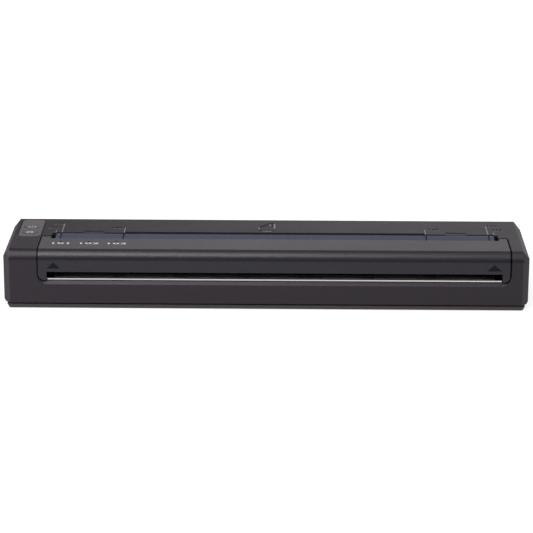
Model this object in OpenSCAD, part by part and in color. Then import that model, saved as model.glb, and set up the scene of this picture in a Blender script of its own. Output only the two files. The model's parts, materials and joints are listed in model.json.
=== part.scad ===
// Portable thermal printer for loose A4 sheets: a slim bar with a hinged release cover.
// X runs along the bar with the keys at the -X end, +Y is the rear and +Z is up.
// The origin is the middle of the footprint, on the surface that the feet stand on.
// A sheet enters the slot behind the guide strip, turns under the platen roller, where
// the sprung head heats it from below, and leaves over the tear bar at the front.

/* [Case] */
// Overall width of the case
case_w = 256; // [252:1:262]
// Overall depth of the case
case_d = 55; // [54:0.5:58]
// Overall height above the surface it stands on
case_h = 30; // [29.5:0.5:32]
// Thickness of the moulded walls
wall = 1.8; // [1.5:0.1:2]
// Height of the bottom pan above the surface
base_z = 0.55; // [0.4:0.05:0.8]
// Height of the seam between the bottom and top case
seam_z = 3.35; // [3.25:0.05:3.5]
// Open line between the two case halves
seam_gap = 0.85; // [0.5:0.05:0.9]
// Step of the bottom case behind the top case at front and rear
pan_inset = 0.85; // [0.5:0.05:1]
// How far the bevel on the front top edge reaches back
bevel_back = 2.5; // [2:0.1:3]
// How far the bevel on the front top edge reaches down
bevel_down = 4.4; // [3.5:0.1:5]
// How far the bevel on the end top edges reaches in
end_bevel_in = 3.2; // [2.6:0.1:3.4]
// How far the bevel on the end top edges reaches down
end_bevel_down = 3.6; // [3:0.1:4]
// Corner cut of the case along X
corner_cut_x = 3.1; // [2.4:0.1:3.4]
// Corner cut of the case along Y
corner_cut_y = 3; // [2:0.1:3.6]
// Height where the end faces turn in towards the pan
end_break_z = 4.6; // [4.4:0.1:5.5]
// How far the end faces turn in at the pan
end_turn_in = 2.9; // [2:0.1:3.2]
// Radius of the rear top edge
rear_round = 0.8; // [0.5:0.1:2]

/* [Release cover] */
// Width of the case section at the key end
key_end_w = 16.9; // [16.5:0.1:17.4]
// Width of the case section at the gear end
gear_end_w = 9.25; // [8.75:0.1:9.75]
// Rear edge of the cover's end lands, behind the middle of the case
cover_back_y = -3.6; // [-4:0.1:-3.2]
// Open line around the cover
cover_gap = 0.3; // [0.2:0.05:0.4]
// Radius of the lower corners of the cover
cover_corner_r = 3.4; // [2:0.1:4]
// Distance from the front face to the cover's hinge axis
hinge_in = 20.5; // [20:0.1:21]
// Distance from the top face down to the cover's hinge axis
hinge_down = 4; // [3.8:0.1:4.3]
// Radius of the hinge pins
hinge_pin_r = 1; // [0.8:0.05:1.1]
// Width of the body lip below the exit slot, seen from the front
lip_bevel_h = 1.6; // [1.2:0.1:2]
// Depth of the bevel on that lip
lip_bevel_in = 1.2; // [0.8:0.1:1.5]
// Size of the two triangle marks
mark_w = 6.9; // [6:0.1:7.4]
// Height of the two triangle marks
mark_h = 3.2; // [2.5:0.1:3.5]
// Depth of engraved marks
mark_deep = 0.3; // [0.2:0.05:0.4]

/* [Paper path] */
// Slot end inside the cover, at the key end
slot_margin_key = 4.3; // [4:0.1:4.6]
// Slot end inside the cover, at the gear end
slot_margin_gear = 3.8; // [3.5:0.1:4.1]
// Height of the open exit slot above the exit floor
slot_open = 3.9; // [3.5:0.1:4.2]
// Distance from the slot end to the outer face of a side plate
plate_setback = 0.65; // [0.6:0.05:0.8]
// Thickness of the side plates
plate_t = 1.2; // [1:0.1:1.4]
// Room between the guide strip and the side plates
guide_end_gap = 0.65; // [0.5:0.05:0.9]
// Front edge of the guide strip, behind the front face
guide_in = 20.6; // [20.2:0.1:21]
// Width of the guide strip on top
guide_w = 8.6; // [8:0.1:8.8]
// Thickness of the guide strip
guide_t = 1.5; // [1.2:0.1:1.7]
// How far the guide strip lies below the top face
guide_low = 0.1; // [0:0.05:0.3]
// Room for a sheet between the guide strip's skirt and the chute
chute_gap = 1.2; // [1:0.1:1.4]
// Thickness of the chute wall
chute_t = 1.2; // [1:0.1:1.3]
// Width of a rib in the chute
chute_rib_w = 1; // [0.8:0.1:1.5]
// Number of ribs in the chute
chute_ribs = 12; // [8:1:16]
// Edge of the rear top, in front of which the entry slot opens, in the middle zone
entry_mid_in = 32.4; // [32.2:0.1:32.6]
// The same edge in the two outer zones
entry_end_in = 30.8; // [30.6:0.1:31]
// Thickness of the tear bar
tear_t = 0.5; // [0.4:0.05:0.6]
// Height of the tear bar
tear_h = 4.2; // [3.5:0.1:5]
// Pitch of the teeth on the tear bar
tear_pitch = 1.2; // [1:0.1:2]
// Height of the teeth on the tear bar
tear_tooth = 0.2; // [0.1:0.05:0.3]

/* [Roller and gears] */
// Radius of the platen roller
roller_r = 5; // [4.6:0.1:5]
// Radius of the platen shaft inside the rubber
shaft_r = 2.5; // [2.2:0.1:2.8]
// Radius of the platen shaft's journals
journal_r = 2; // [1.6:0.1:2.1]
// Distance from the front face to the roller's axis
roller_in = 16.5; // [16.3:0.1:16.7]
// Outer radius of the bushes
bush_r = 3.2; // [2.8:0.1:3.4]
// Radial running clearance of shafts and pins
run_gap = 0.05; // [0.03:0.01:0.08]
// Gear module
gear_m = 0.5; // [0.5]
// Teeth on the platen gear
platen_teeth = 24; // [24:1:25]
// Teeth on the idler gear
idler_teeth = 22; // [22:1:24]
// Small teeth on the reduction gear
reduction_small = 12; // [12:1:13]
// Large teeth on the reduction gear
reduction_large = 32; // [30:1:33]
// Teeth on the motor pinion
pinion_teeth = 10; // [10:1:12]
// Face width of the gears
gear_w = 2.5; // [2:0.1:2.7]
// Radius of the gear pins
gear_pin_r = 1; // [0.8:0.05:1.1]
// Radius of the motor
motor_r = 9.5; // [9:0.1:9.8]
// Length of the motor
motor_l = 19.5; // [16:0.5:21]
// Radius of the motor shaft
motor_shaft_r = 0.75; // [0.6:0.05:0.9]
// Distance of the motor's axis behind the roller's axis
motor_back = 26.5; // [26.3:0.1:26.7]
// Height of the motor's axis
motor_z = 14.5; // [14.2:0.1:14.7]

/* [Thermal head] */
// Room between the head's ends and the side plates
head_end_gap = 5; // [4.5:0.1:8]
// Depth of the head board, front to rear
head_board_d = 12.6; // [11:0.1:12.8]
// Thickness of the head board
head_board_t = 1; // [0.8:0.1:1]
// Thickness of the heat sink under the board
sink_t = 3.4; // [3:0.1:3.6]
// Air between the head and the roller, filled by a sheet
nip_gap = 0.12; // [0.1:0.01:0.2]
// Distance of the head's pivot behind the roller's axis
pivot_back = 11.5; // [11:0.1:11.8]
// Distance of the head's pivot below the nip
pivot_below = 5.9; // [5.7:0.1:6.1]
// Radius of the pivot rod
pivot_r = 1; // [0.8:0.05:1.1]
// Radius of the head springs
spring_r = 1.6; // [1.4:0.1:1.8]
// Radius of the springs' wire
spring_wire_r = 0.22; // [0.2:0.01:0.26]
// Turns in each head spring
spring_turns = 4; // [3:1:5]

/* [Frame and boards] */
// Height of the chassis plate's underside above the pan floor
chassis_up = 4.65; // [4.5:0.05:4.8]
// Thickness of the chassis sheet
chassis_t = 1; // [0.8:0.1:1.1]
// Thickness of the circuit boards
board_t = 1; // [0.8:0.1:1.2]
// Height of the main board above the pan floor
board_up = 1.1; // [0.9:0.05:1.2]
// Depth of the main board
board_d = 20.6; // [20:0.1:20.8]
// Room between the main board's ends and the case's ends
board_end_gap = 30; // [29:0.5:37]
// Radius of the frame screws' shanks
screw_r = 1; // [0.9:0.05:1.1]

/* [Battery bay] */
// Distance from the key end's face to the battery pack
battery_from_key_end = 27.9; // [27.7:0.1:35]
// Height of the battery pack
battery_h = 19; // [18.6:0.1:19.1]
// Edge radius of the battery pack
battery_r = 2; // [1:0.1:4]
// Distance from the gear end's face to the bay's end wall
bay_from_gear_end = 39.4; // [38.9:0.1:40.5]
// Height of the battery cover's hinge axis
door_axis_z = 4.9; // [4.85:0.05:5.1]
// Radius of the rounded lower edge of the battery cover
door_edge_r = 0.8; // [0.75:0.05:0.9]
// Height of the battery cover's upper edge
door_top_z = 24; // [23.6:0.1:24.3]
// Radius of the battery cover's hinge pins
door_pin_r = 0.4; // [0.35:0.05:0.45]

/* [Keys] */
// Width of the key frame
panel_w = 11.2; // [11:0.1:11.6]
// Depth of the key frame
panel_d = 24.5; // [23:0.1:25]
// Distance from the key end's face to the key frame
panel_from_end = 4.8; // [4.7:0.1:5]
// Distance from the rear face to the key frame
panel_from_rear = 4.6; // [4.4:0.1:5]
// Corner radius of the key frame
panel_r = 2.4; // [2:0.1:3]
// Thickness of the key frame
panel_t = 1; // [0.9:0.05:1.1]
// Length of each oval key
key_l = 8; // [7:0.1:8.2]
// Width of each oval key
key_w = 5.6; // [5:0.1:6]
// Distance from the rear face to the middle of the power key
power_from_rear = 14.9; // [14.8:0.1:15.2]
// Distance between the two keys
key_pitch = 9.3; // [9:0.1:9.8]
// Travel of the keys
key_travel = 0.5; // [0.3:0.05:0.5]
// Open line around each key
key_gap = 0.15; // [0.1:0.01:0.2]

/* [Inlets] */
// Distance from the key end's face to the middle of the power inlet
dc_from_end = 10; // [9.5:0.1:10.5]
// Distance from the key end's face to the middle of the data inlet
usb_from_end = 19.9; // [19.5:0.1:20.1]
// Height of the inlets
inlet_z = 12; // [11:0.5:14]
// Radius of the power inlet
dc_r = 2.75; // [2.5:0.05:3]
// Width of the data inlet
usb_w = 8.3; // [8:0.1:8.4]
// Height of the data inlet
usb_h = 2.6; // [2.4:0.1:3]

/* [Feet] */
// Radius of the rubber feet
foot_r = 4.5; // [3:0.1:5]
// Distance of the feet from the ends
foot_from_end = 16.5; // [15.5:0.5:17.5]

/* [Hidden] */
$fn = 48;
// A cut runs this far past the face that it opens
past = 1;

// Colours, as the object shows them
col_case = [0.30, 0.28, 0.29];
col_pan = [0.34, 0.32, 0.33];
col_cover = [0.36, 0.35, 0.36];
col_guide = [0.28, 0.30, 0.38];
col_panel = [0.42, 0.40, 0.41];
col_steel = [0.70, 0.70, 0.70];
col_board = [0.10, 0.32, 0.20];
col_rubber = [0.12, 0.12, 0.12];
col_gear = [0.85, 0.84, 0.80];

// Case planes
front_y = -case_d / 2;
rear_y = case_d / 2;
key_end_x = -case_w / 2;
gear_end_x = case_w / 2;
ceil_z = case_h - wall;
floor_z = base_z + wall;

// Release cover and hinge
cover_l = key_end_x + key_end_w;
cover_r = gear_end_x - gear_end_w;
hinge_y = front_y + hinge_in;
hinge_z = case_h - hinge_down;
cover_swing_r = norm([cover_back_y - hinge_y, hinge_down]);
// Free room kept around what the cover swings past
swing_gap = 0.35;
led_board_z = ceil_z - 0.7;
led_board_t = 0.6;
led_board_d = 3.6;
lens_y = front_y + 15.2;
lens_from_end = 10.3;
lens_pitch = 13.6;
led_board_l = 2 * lens_pitch + 6.8;
lens_r = 0.8;

// Exit slot and the mechanism's own middle plane
slot_l = cover_l + slot_margin_key;
slot_r = cover_r - slot_margin_gear;
mech_x = (slot_l + slot_r) / 2;
slot_half = (slot_r - slot_l) / 2;
plate_out = slot_half - plate_setback;
plate_in = plate_out - plate_t;
guide_half = plate_in - guide_end_gap;
notch_half = plate_out + 0.25;

// Stack of the mechanism, from the pan floor up
board_z = floor_z + board_up;
chassis_z = floor_z + chassis_up;
chassis_top = chassis_z + chassis_t;
sink_z = chassis_top + 3.6;
head_z = sink_z + sink_t;
nip_z = head_z + head_board_t;
roller_y = front_y + roller_in;
roller_z = nip_z + nip_gap + roller_r;
pivot_y = roller_y + pivot_back;
pivot_z = nip_z - pivot_below;
exit_z = nip_z - 0.8;
lip_z = exit_z - 0.8;
cover_leg_z = lip_z + 0.5;
slot_top_z = exit_z + slot_open;
roller_half = plate_in - 2;
window_pitch = plate_in * 0.2568;
head_half = plate_in - head_end_gap;

// Guide strip, its skirt and the chute behind it, all about the hinge axis
guide_y0 = front_y + guide_in;
guide_y1 = guide_y0 + guide_w;
guide_top = case_h - guide_low;
skirt_r = norm([guide_y1 - hinge_y, guide_top - hinge_z]);
skirt_a0 = asin((guide_top - hinge_z) / skirt_r);
skirt_a1 = -16;
chute_r = skirt_r + chute_gap;
chute_a0 = 9;
chute_a1 = -66;
chute_peg_r = 0.9;
chute_peg_a = -20;
chute_peg = [
    hinge_y + (chute_r + chute_t / 2) * cos(chute_peg_a),
    hinge_z + (chute_r + chute_t / 2) * sin(chute_peg_a)
];

// Gear centres in the Y-Z plane
roller_c = [roller_y, roller_z];
motor_c = [roller_y + motor_back, motor_z];
mesh_motor = gear_m * (pinion_teeth + reduction_large) / 2;
mesh_small = gear_m * (reduction_small + idler_teeth) / 2;
mesh_platen = gear_m * (idler_teeth + platen_teeth) / 2;
reduction_a = 199.5;
reduction_c = motor_c + mesh_motor * [cos(reduction_a), sin(reduction_a)];
idler_base = norm(reduction_c - roller_c);
idler_bend = acos(
    (pow(mesh_platen, 2) + pow(idler_base, 2) - pow(mesh_small, 2)) / (2 * mesh_platen * idler_base)
);
idler_a = atan2(reduction_c[1] - roller_c[1], reduction_c[0] - roller_c[0]) + idler_bend;
idler_c = roller_c + mesh_platen * [cos(idler_a), sin(idler_a)];

// Gear planes along X, outside the right side plate
plate_face_x = mech_x + plate_out;
arm_gap = 0.35;
arm_t = 1.1;
gear_x0 = plate_face_x + arm_gap + arm_t + 0.4;
gear_x1 = gear_x0 + gear_w;
large_x0 = gear_x1 + 0.4;
large_x1 = large_x0 + gear_w;

// Battery bay and its cover
bay_r = gear_end_x - bay_from_gear_end;
bay_end_gap = 0.7;
battery_r_x = bay_r - bay_end_gap;
battery_l_x = key_end_x + battery_from_key_end;
bay_l = battery_l_x - 0.5;
bay_wall = 0.9;
bay_wall_h = 12;
// Light barrier behind the chute, and the battery pack's room behind it
sensor_t = 0.9;
sensor_y = hinge_y + chute_r + chute_t + 0.1;
battery_y0 = sensor_y + sensor_t + 0.32;
battery_y1 = rear_y - wall - 0.45;
battery_l = battery_r_x - battery_l_x;
contact_pitch = (battery_y1 - battery_y0) * 0.19;
battery_z = floor_z + 1.45;
door_axis_y = rear_y - door_edge_r;
door_l = bay_l - 0.4;
door_r = bay_r + 0.4;
door_gap = 0.25;

// Keys
panel_x0 = key_end_x + panel_from_end;
panel_x1 = panel_x0 + panel_w;
panel_y1 = rear_y - panel_from_rear;
panel_y0 = panel_y1 - panel_d;
panel_top = case_h - 0.1;
panel_z = panel_top - panel_t;
key_x = (panel_x0 + panel_x1) / 2;
power_y = rear_y - power_from_rear;
feed_y = power_y - key_pitch;
switch_top = ceil_z - 1.1;
key_board_z = ceil_z - 4;

// Screws
case_screw_sites = [
    [key_end_x + 8, front_y + 8.5],
    [bay_l - 3.3, rear_y - 13.5],
    [gear_end_x - 5.3, front_y + 6.5],
    [gear_end_x - 5.6, rear_y - 5.6]
];
frame_screw_sites = [
    for (side = [-1, 1]) for (y = [roller_y - 4, pivot_y + 2.6]) [mech_x + side * (plate_in - 2.5), y]
];
boss_r = 2.3;
post_r = 1.9;
screw_head_r = 1.6;
screw_head_t = 0.9;
foot_sites = [for (sx = [-1, 1]) for (sy = [-1, 1]) [sx * (case_w / 2 - foot_from_end), sy * (case_d / 2 - 8)]];
foot_sunk = 0.35;

// Tick marks on the rear top: distances from the mechanism's middle, and lengths
long_tick = guide_half - 2.475;
short_tick = guide_half + 0.525;
mid_tick = guide_half * 0.691;
recess_x = guide_half * 0.8304;
tick_w = 0.5;
long_tick_l = 15.8;
short_tick_l = 3.8;
mid_tick_l = 8.6;
recess_w = 10;
recess_d = 3.2;

// Sheet sign on the rear top: a cut-off page in outline
sign_w = 8.4;
sign_y0 = hinge_y + 14;
sign_l = 14;
sign_cut_l = 7;
sign_line = 0.8;

// ---- Outline helpers -------------------------------------------------------

// Arc of points about c, from angle a0 to a1
function arc(c, r, a0, a1, steps = 6) =
    [for (i = [0:steps]) let (a = a0 + (a1 - a0) * i / steps) c + r * [cos(a), sin(a)]];

function turn(a) = a > 180 ? a - 360 : a < -180 ? a + 360 : a;

function unit(v) = v / norm(v);

// Fillet of radius r at corner q, between its neighbours p and s
function fillet(p, q, s, r, steps) =
    let (
        u = unit(p - q),
        w = unit(s - q),
        half = acos(u * w) / 2,
        c = q + unit(u + w) * r / sin(half),
        from = q + u * r / tan(half) - c,
        to = q + w * r / tan(half) - c,
        a0 = atan2(from[1], from[0])
    )
    arc(c, r, a0, a0 + turn(atan2(to[1], to[0]) - a0), steps);

// Outline from [x, y, corner radius] entries
function rounded(pts, steps = 4) =
    let (n = len(pts), xy = [for (p = pts) [p[0], p[1]]])
    [for (i = [0:n - 1]) each
        pts[i][2] <= 0.01 ? [xy[i]] : fillet(xy[(i + n - 1) % n], xy[i], xy[(i + 1) % n], pts[i][2], steps)];

// Rectangle with one corner radius
function round_rect(x0, y0, x1, y1, r) =
    rounded([[x0, y0, r], [x1, y0, r], [x1, y1, r], [x0, y1, r]]);

// Share of a bevel left on a surface that lies g further in
function bevel_share(a, b, g) = 1 - g * ((a + b) / norm([a, b]) - 1) * norm([a, b]) / (a * b);

// Extrusions along each axis, between two planes
module along_x(x0, x1) translate([x0, 0, 0]) rotate([90, 0, 90]) linear_extrude(x1 - x0) children();
module along_y(y0, y1) translate([0, y1, 0]) rotate([90, 0, 0]) linear_extrude(y1 - y0) children();
module along_z(z0, z1) translate([0, 0, z0]) linear_extrude(z1 - z0) children();

module block(x0, x1, y0, y1, z0, z1) translate([x0, y0, z0]) cube([x1 - x0, y1 - y0, z1 - z0]);

// Rod along X about a point of the Y-Z plane
module rod(x0, x1, c, r) along_x(x0, x1) translate(c) circle(r);

// ---- Case ------------------------------------------------------------------

// Section across the bar, g inside the outer faces and from height low up
function side_outline(g, low) =
    let (k = bevel_share(bevel_back, bevel_down, g))
    rounded([
        [front_y + g, low, 0],
        [rear_y - g, low, 0],
        [rear_y - g, case_h - g, max(0.3, rear_round - g)],
        [front_y + g + bevel_back * k, case_h - g, max(0.3, 1.6 - g)],
        [front_y + g, case_h - g - bevel_down * k, max(0.3, 4 - g)]
    ]);

// Outline seen from the front
function end_outline(g, low) =
    let (
        k = bevel_share(end_bevel_in, end_bevel_down, g),
        half = case_w / 2 - g,
        side = [
            [half - end_turn_in * (end_break_z - low) / (end_break_z - base_z), low, 0],
            [half, end_break_z, 0.6],
            [half, case_h - g - end_bevel_down * k, 0.8],
            [half - end_bevel_in * k, case_h - g, 1]
        ]
    )
    rounded(concat(side, [for (i = [3:-1:0]) [-side[i][0], side[i][1], side[i][2]]]), 3);

// Outline seen from above
function plan_outline(g) =
    let (
        k = bevel_share(corner_cut_x, corner_cut_y, g),
        x = case_w / 2 - g,
        y = case_d / 2 - g,
        cx = corner_cut_x * k,
        cy = corner_cut_y * k,
        r = max(0.4, 2 - g)
    )
    rounded([
        [-x + cx, -y, 0.5], [x - cx, -y, 0.5], [x, -y + cy, 0.5],
        [x, y - cy, r], [x - cx, y, r],
        [-x + cx, y, r], [-x, y - cy, r], [-x, -y + cy, 0.5]
    ], 3);

module case_form(g, low) intersection() {
    along_x(key_end_x + g, gear_end_x - g) polygon(side_outline(g, low));
    along_y(front_y + g, rear_y - g) polygon(end_outline(g, low));
    along_z(low, case_h - g) polygon(plan_outline(g));
}

module case_skin() difference() {
    case_form(0, base_z);
    case_form(wall, floor_z);
}

// Front outline of the opening that the release cover fills
function opening_outline(low_z, r) = rounded([
    [cover_l - cover_gap, low_z, r], [cover_r + cover_gap, low_z, r],
    [cover_r + cover_gap, case_h + 20, 0], [cover_l - cover_gap, case_h + 20, 0]
], 6);

// Bevelled mouth of that opening
module lip_bevel() hull() {
    along_y(front_y - 0.02, front_y) polygon(opening_outline(lip_z - lip_bevel_h, cover_corner_r + 1.2));
    along_y(front_y + lip_bevel_in - 0.02, front_y + lip_bevel_in)
        polygon(opening_outline(lip_z, cover_corner_r));
}

// Plan of the opening for the guide strip and the entry slot behind it
module entry_plan() {
    notch_l = mech_x - notch_half;
    notch_r = mech_x + notch_half;
    outer = guide_half + 0.5;
    mid_y = front_y + entry_mid_in;
    end_y = front_y + entry_end_in;
    polygon([
        [notch_l, hinge_y], [notch_l, guide_y1 + 0.4],
        [mech_x - outer, guide_y1 + 0.4], [mech_x - outer, end_y],
        [mech_x - mid_tick, end_y], [mech_x - mid_tick, mid_y],
        [mech_x + mid_tick, mid_y], [mech_x + mid_tick, end_y],
        [mech_x + outer, end_y], [mech_x + outer, guide_y1 + 0.4],
        [notch_r, guide_y1 + 0.4], [notch_r, hinge_y]
    ]);
}

module cover_opening() {
    along_y(front_y - past, hinge_y + 0.01) polygon(opening_outline(lip_z, cover_corner_r));
    intersection() {
        rod(cover_l - cover_gap, cover_r + cover_gap, [hinge_y, hinge_z], cover_swing_r + swing_gap);
        block(key_end_x, gear_end_x, hinge_y, rear_y, ceil_z - past, case_h + past);
    }
    along_z(ceil_z - past, case_h + past) entry_plan();
    lip_bevel();
}

// Engraved lines, recesses and the sheet sign on the rear top
module top_marks() {
    along_z(case_h - mark_deep, case_h + past) {
        end_y = front_y + entry_end_in;
        for (side = [-1, 1]) {
            for (t = [[long_tick, long_tick_l], [short_tick, short_tick_l], [mid_tick, mid_tick_l]])
                translate([mech_x + side * t[0] - tick_w / 2, end_y - 0.1]) square([tick_w, t[1]]);
            translate([mech_x + side * recess_x - recess_w / 2, end_y - 0.1]) square([recess_w, recess_d]);
        }
        difference() {
            sheet_sign(0);
            sheet_sign(sign_line);
        }
    }
}

// Page with one corner cut off, g inside its outline
module sheet_sign(g)
    polygon([
        [-sign_w / 2 + g, sign_y0 + g], [sign_w / 2 - g, sign_y0 + g],
        [sign_w / 2 - g, sign_y0 + sign_l - g], [g / 2 + 0.6, sign_y0 + sign_l - g],
        [-sign_w / 2 + g, sign_y0 + sign_cut_l - g / 4]
    ]);

module battery_opening()
    along_y(rear_y - wall - past, rear_y + past)
        polygon(round_rect(door_l - door_gap, seam_z - past, door_r + door_gap, door_top_z + door_gap, 0.6));

module inlet_openings() along_y(rear_y - wall - past, rear_y + past) {
    translate([key_end_x + dc_from_end, inlet_z]) circle(dc_r + 0.9);
    polygon(round_rect(
        key_end_x + usb_from_end - usb_w / 2 - 0.9, inlet_z - usb_h / 2 - 0.9,
        key_end_x + usb_from_end + usb_w / 2 + 0.9, inlet_z + usb_h / 2 + 0.9, 1.2
    ));
}

module panel_pocket() {
    along_z(panel_z, case_h + past)
        polygon(round_rect(panel_x0 - 0.12, panel_y0 - 0.12, panel_x1 + 0.12, panel_y1 + 0.12, panel_r));
    along_z(ceil_z - past, case_h)
        polygon(round_rect(panel_x0 + 0.9, panel_y0 + 0.9, panel_x1 - 0.9, panel_y1 - 0.9, 1.5));
}

module top_case() color(col_case) {
    difference() {
        union() {
            intersection() {
                case_skin();
                block(key_end_x, gear_end_x, front_y, rear_y, seam_z, case_h);
            }
            for (site = case_screw_sites) translate([site[0], site[1], floor_z + 0.1])
                cylinder(r = boss_r, h = ceil_z - floor_z + 0.3);
            // Posts that carry the key board
            for (y = [panel_y0 + 2.2, panel_y1 - 2.2]) for (x = [panel_x0 + 0.6, panel_x1 - 0.6])
                translate([x, y, key_board_z + board_t])
                    cylinder(r = 1.1, h = ceil_z - key_board_z - board_t + 0.3);
            // Ribs that hold the battery pack down
            for (i = [0:5]) along_x(bay_l + 14 + i * battery_l * 0.17, bay_l + 15.2 + i * battery_l * 0.17)
                polygon([
                    [battery_y0 + 3, ceil_z + 0.3], [battery_y0 + 4, battery_z + battery_h + 0.4],
                    [battery_y1 - 4, battery_z + battery_h + 0.4], [battery_y1 - 2.5, ceil_z + 0.3]
                ]);
        }
        for (site = case_screw_sites) translate([site[0], site[1], floor_z])
            cylinder(r = screw_r + run_gap, h = 9);
        cover_opening();
        battery_opening();
        inlet_openings();
        panel_pocket();
        top_marks();
        for (side = [[door_l - door_gap, -1], [door_r + door_gap, 1]])
            rod(
                side[0] + min(0, side[1] * 2.5), side[0] + max(0, side[1] * 2.5),
                [door_axis_y, door_axis_z], door_pin_r + run_gap / 2
            );
    }
}

module bottom_case() color(col_pan) {
    tongue_in = wall + 0.15;
    tongue_t = 1;
    tongue_up = 1.7;
    difference() {
        union() {
            difference() {
                intersection() {
                    case_form(0, base_z);
                    block(
                        key_end_x, gear_end_x, front_y + pan_inset, rear_y - pan_inset,
                        base_z - past, seam_z - seam_gap
                    );
                }
                intersection() {
                    case_form(wall, floor_z);
                    block(
                        key_end_x, gear_end_x, front_y + wall + pan_inset, rear_y - wall - pan_inset,
                        base_z, case_h
                    );
                }
            }
            // Tongue that locates the top case
            difference() {
                intersection() {
                    case_form(tongue_in, base_z);
                    block(key_end_x, gear_end_x, front_y, rear_y, floor_z - 0.1, seam_z + tongue_up);
                }
                case_form(tongue_in + tongue_t, base_z);
                block(door_l - 1, door_r + 1, rear_y - 8, rear_y, floor_z - past, case_h);
            }
            for (site = frame_screw_sites) translate([site[0], site[1], floor_z - 0.1])
                cylinder(r = post_r, h = chassis_z - floor_z + 0.1);
            for (i = [-2:2]) for (y = [front_y + 7, front_y + 23])
                translate([i * board_l * 0.23 + 1, y, floor_z - 0.1]) cylinder(r = 1.8, h = board_up + 0.1);
            // Sill under the battery cover
            block(
                door_l, door_r, rear_y - pan_inset - 1.2, rear_y - pan_inset,
                floor_z - 0.1, door_axis_z - door_edge_r - 0.3
            );
            // Walls and floor ribs of the battery bay
            block(
                bay_l - bay_wall, bay_r + bay_wall, battery_y0 - 0.3 - bay_wall, battery_y0 - 0.3,
                floor_z - 0.1, battery_z + bay_wall_h
            );
            for (x = [bay_l - bay_wall, bay_r])
                block(
                    x, x + bay_wall, battery_y0 - 0.5, battery_y1 + 0.2,
                    floor_z - 0.1, battery_z + bay_wall_h
                );
            for (i = [0:9]) let (x = bay_l + 5 + i * battery_l * 0.105)
                block(x, x + 1.2, battery_y0 - 0.5, battery_y1 - 0.5, floor_z - 0.1, battery_z - 0.1);
        }
        for (site = case_screw_sites) translate([site[0], site[1], base_z - past]) {
            cylinder(r = screw_r + 0.15, h = floor_z + past);
            cylinder(r = screw_head_r + 0.3, h = past + screw_head_t + 0.1);
            translate([0, 0, past + wall]) cylinder(r = boss_r + 0.15, h = 8);
        }
        for (site = frame_screw_sites) translate([site[0], site[1], floor_z + 0.5])
            cylinder(r = screw_r + run_gap, h = 8);
        for (site = foot_sites) translate([site[0], site[1], base_z - past])
            cylinder(r = foot_r + 0.1, h = past + foot_sunk);
    }
}

module rubber_feet() color(col_rubber)
    for (site = foot_sites) translate([site[0], site[1], 0]) {
        cylinder(r = foot_r - 0.3, h = base_z);
        translate([0, 0, 0.2]) cylinder(r = foot_r, h = base_z + foot_sunk - 0.22);
    }

module case_screws() color(col_steel)
    for (site = case_screw_sites) translate([site[0], site[1], base_z + 0.08]) difference() {
        union() {
            cylinder(r = screw_head_r, h = screw_head_t);
            cylinder(r = screw_r, h = 9);
        }
        for (a = [0, 90]) rotate([0, 0, a]) translate([-1, -0.2, -0.1]) cube([2, 0.4, 0.5]);
    }

module frame_screws() color(col_steel)
    for (site = frame_screw_sites) translate([site[0], site[1], 0]) difference() {
        union() {
            translate([0, 0, chassis_top + 0.02]) cylinder(r = screw_head_r, h = screw_head_t);
            translate([0, 0, floor_z + 0.7]) cylinder(r = screw_r, h = chassis_top - floor_z);
        }
        for (a = [0, 90]) rotate([0, 0, a]) translate([-1, -0.2, chassis_top + 0.5]) cube([2, 0.4, 1]);
    }

// ---- Release cover ---------------------------------------------------------

// Front outline of the cover, with its two legs beside the exit slot
function cover_outline() = rounded([
    [cover_l, case_h + 20, 0], [cover_l, cover_leg_z, cover_corner_r],
    [slot_l, cover_leg_z, 0.3], [slot_l, slot_top_z, 0.3],
    [slot_r, slot_top_z, 0.3], [slot_r, cover_leg_z, 0.3],
    [cover_r, cover_leg_z, cover_corner_r], [cover_r, case_h + 20, 0]
], 6);

module lens_sites() for (i = [0:2]) translate([cover_l + lens_from_end + i * lens_pitch, lens_y, 0]) children();

// Gusset between the cover's front wall and its top
module cover_rib(x) along_x(x, x + 1)
    polygon([
        [front_y + wall - 0.3, slot_top_z + 0.8], [front_y + wall + 1, slot_top_z + 0.8],
        [front_y + wall + 4, ceil_z - 1.4], [hinge_y - 6, ceil_z - 1],
        [hinge_y - 6, ceil_z + 0.3], [front_y + wall + 2.5, ceil_z + 0.3],
        [front_y + wall - 0.3, ceil_z - 4]
    ]);

module cover_arm(x0) along_x(x0, x0 + arm_t) difference() {
    union() {
        translate([hinge_y, hinge_z]) circle(2.2);
        translate([hinge_y - 2.2, hinge_z]) square([4.4, hinge_down - wall + 0.3]);
    }
    translate([hinge_y, hinge_z]) circle(hinge_pin_r + run_gap);
}

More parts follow.
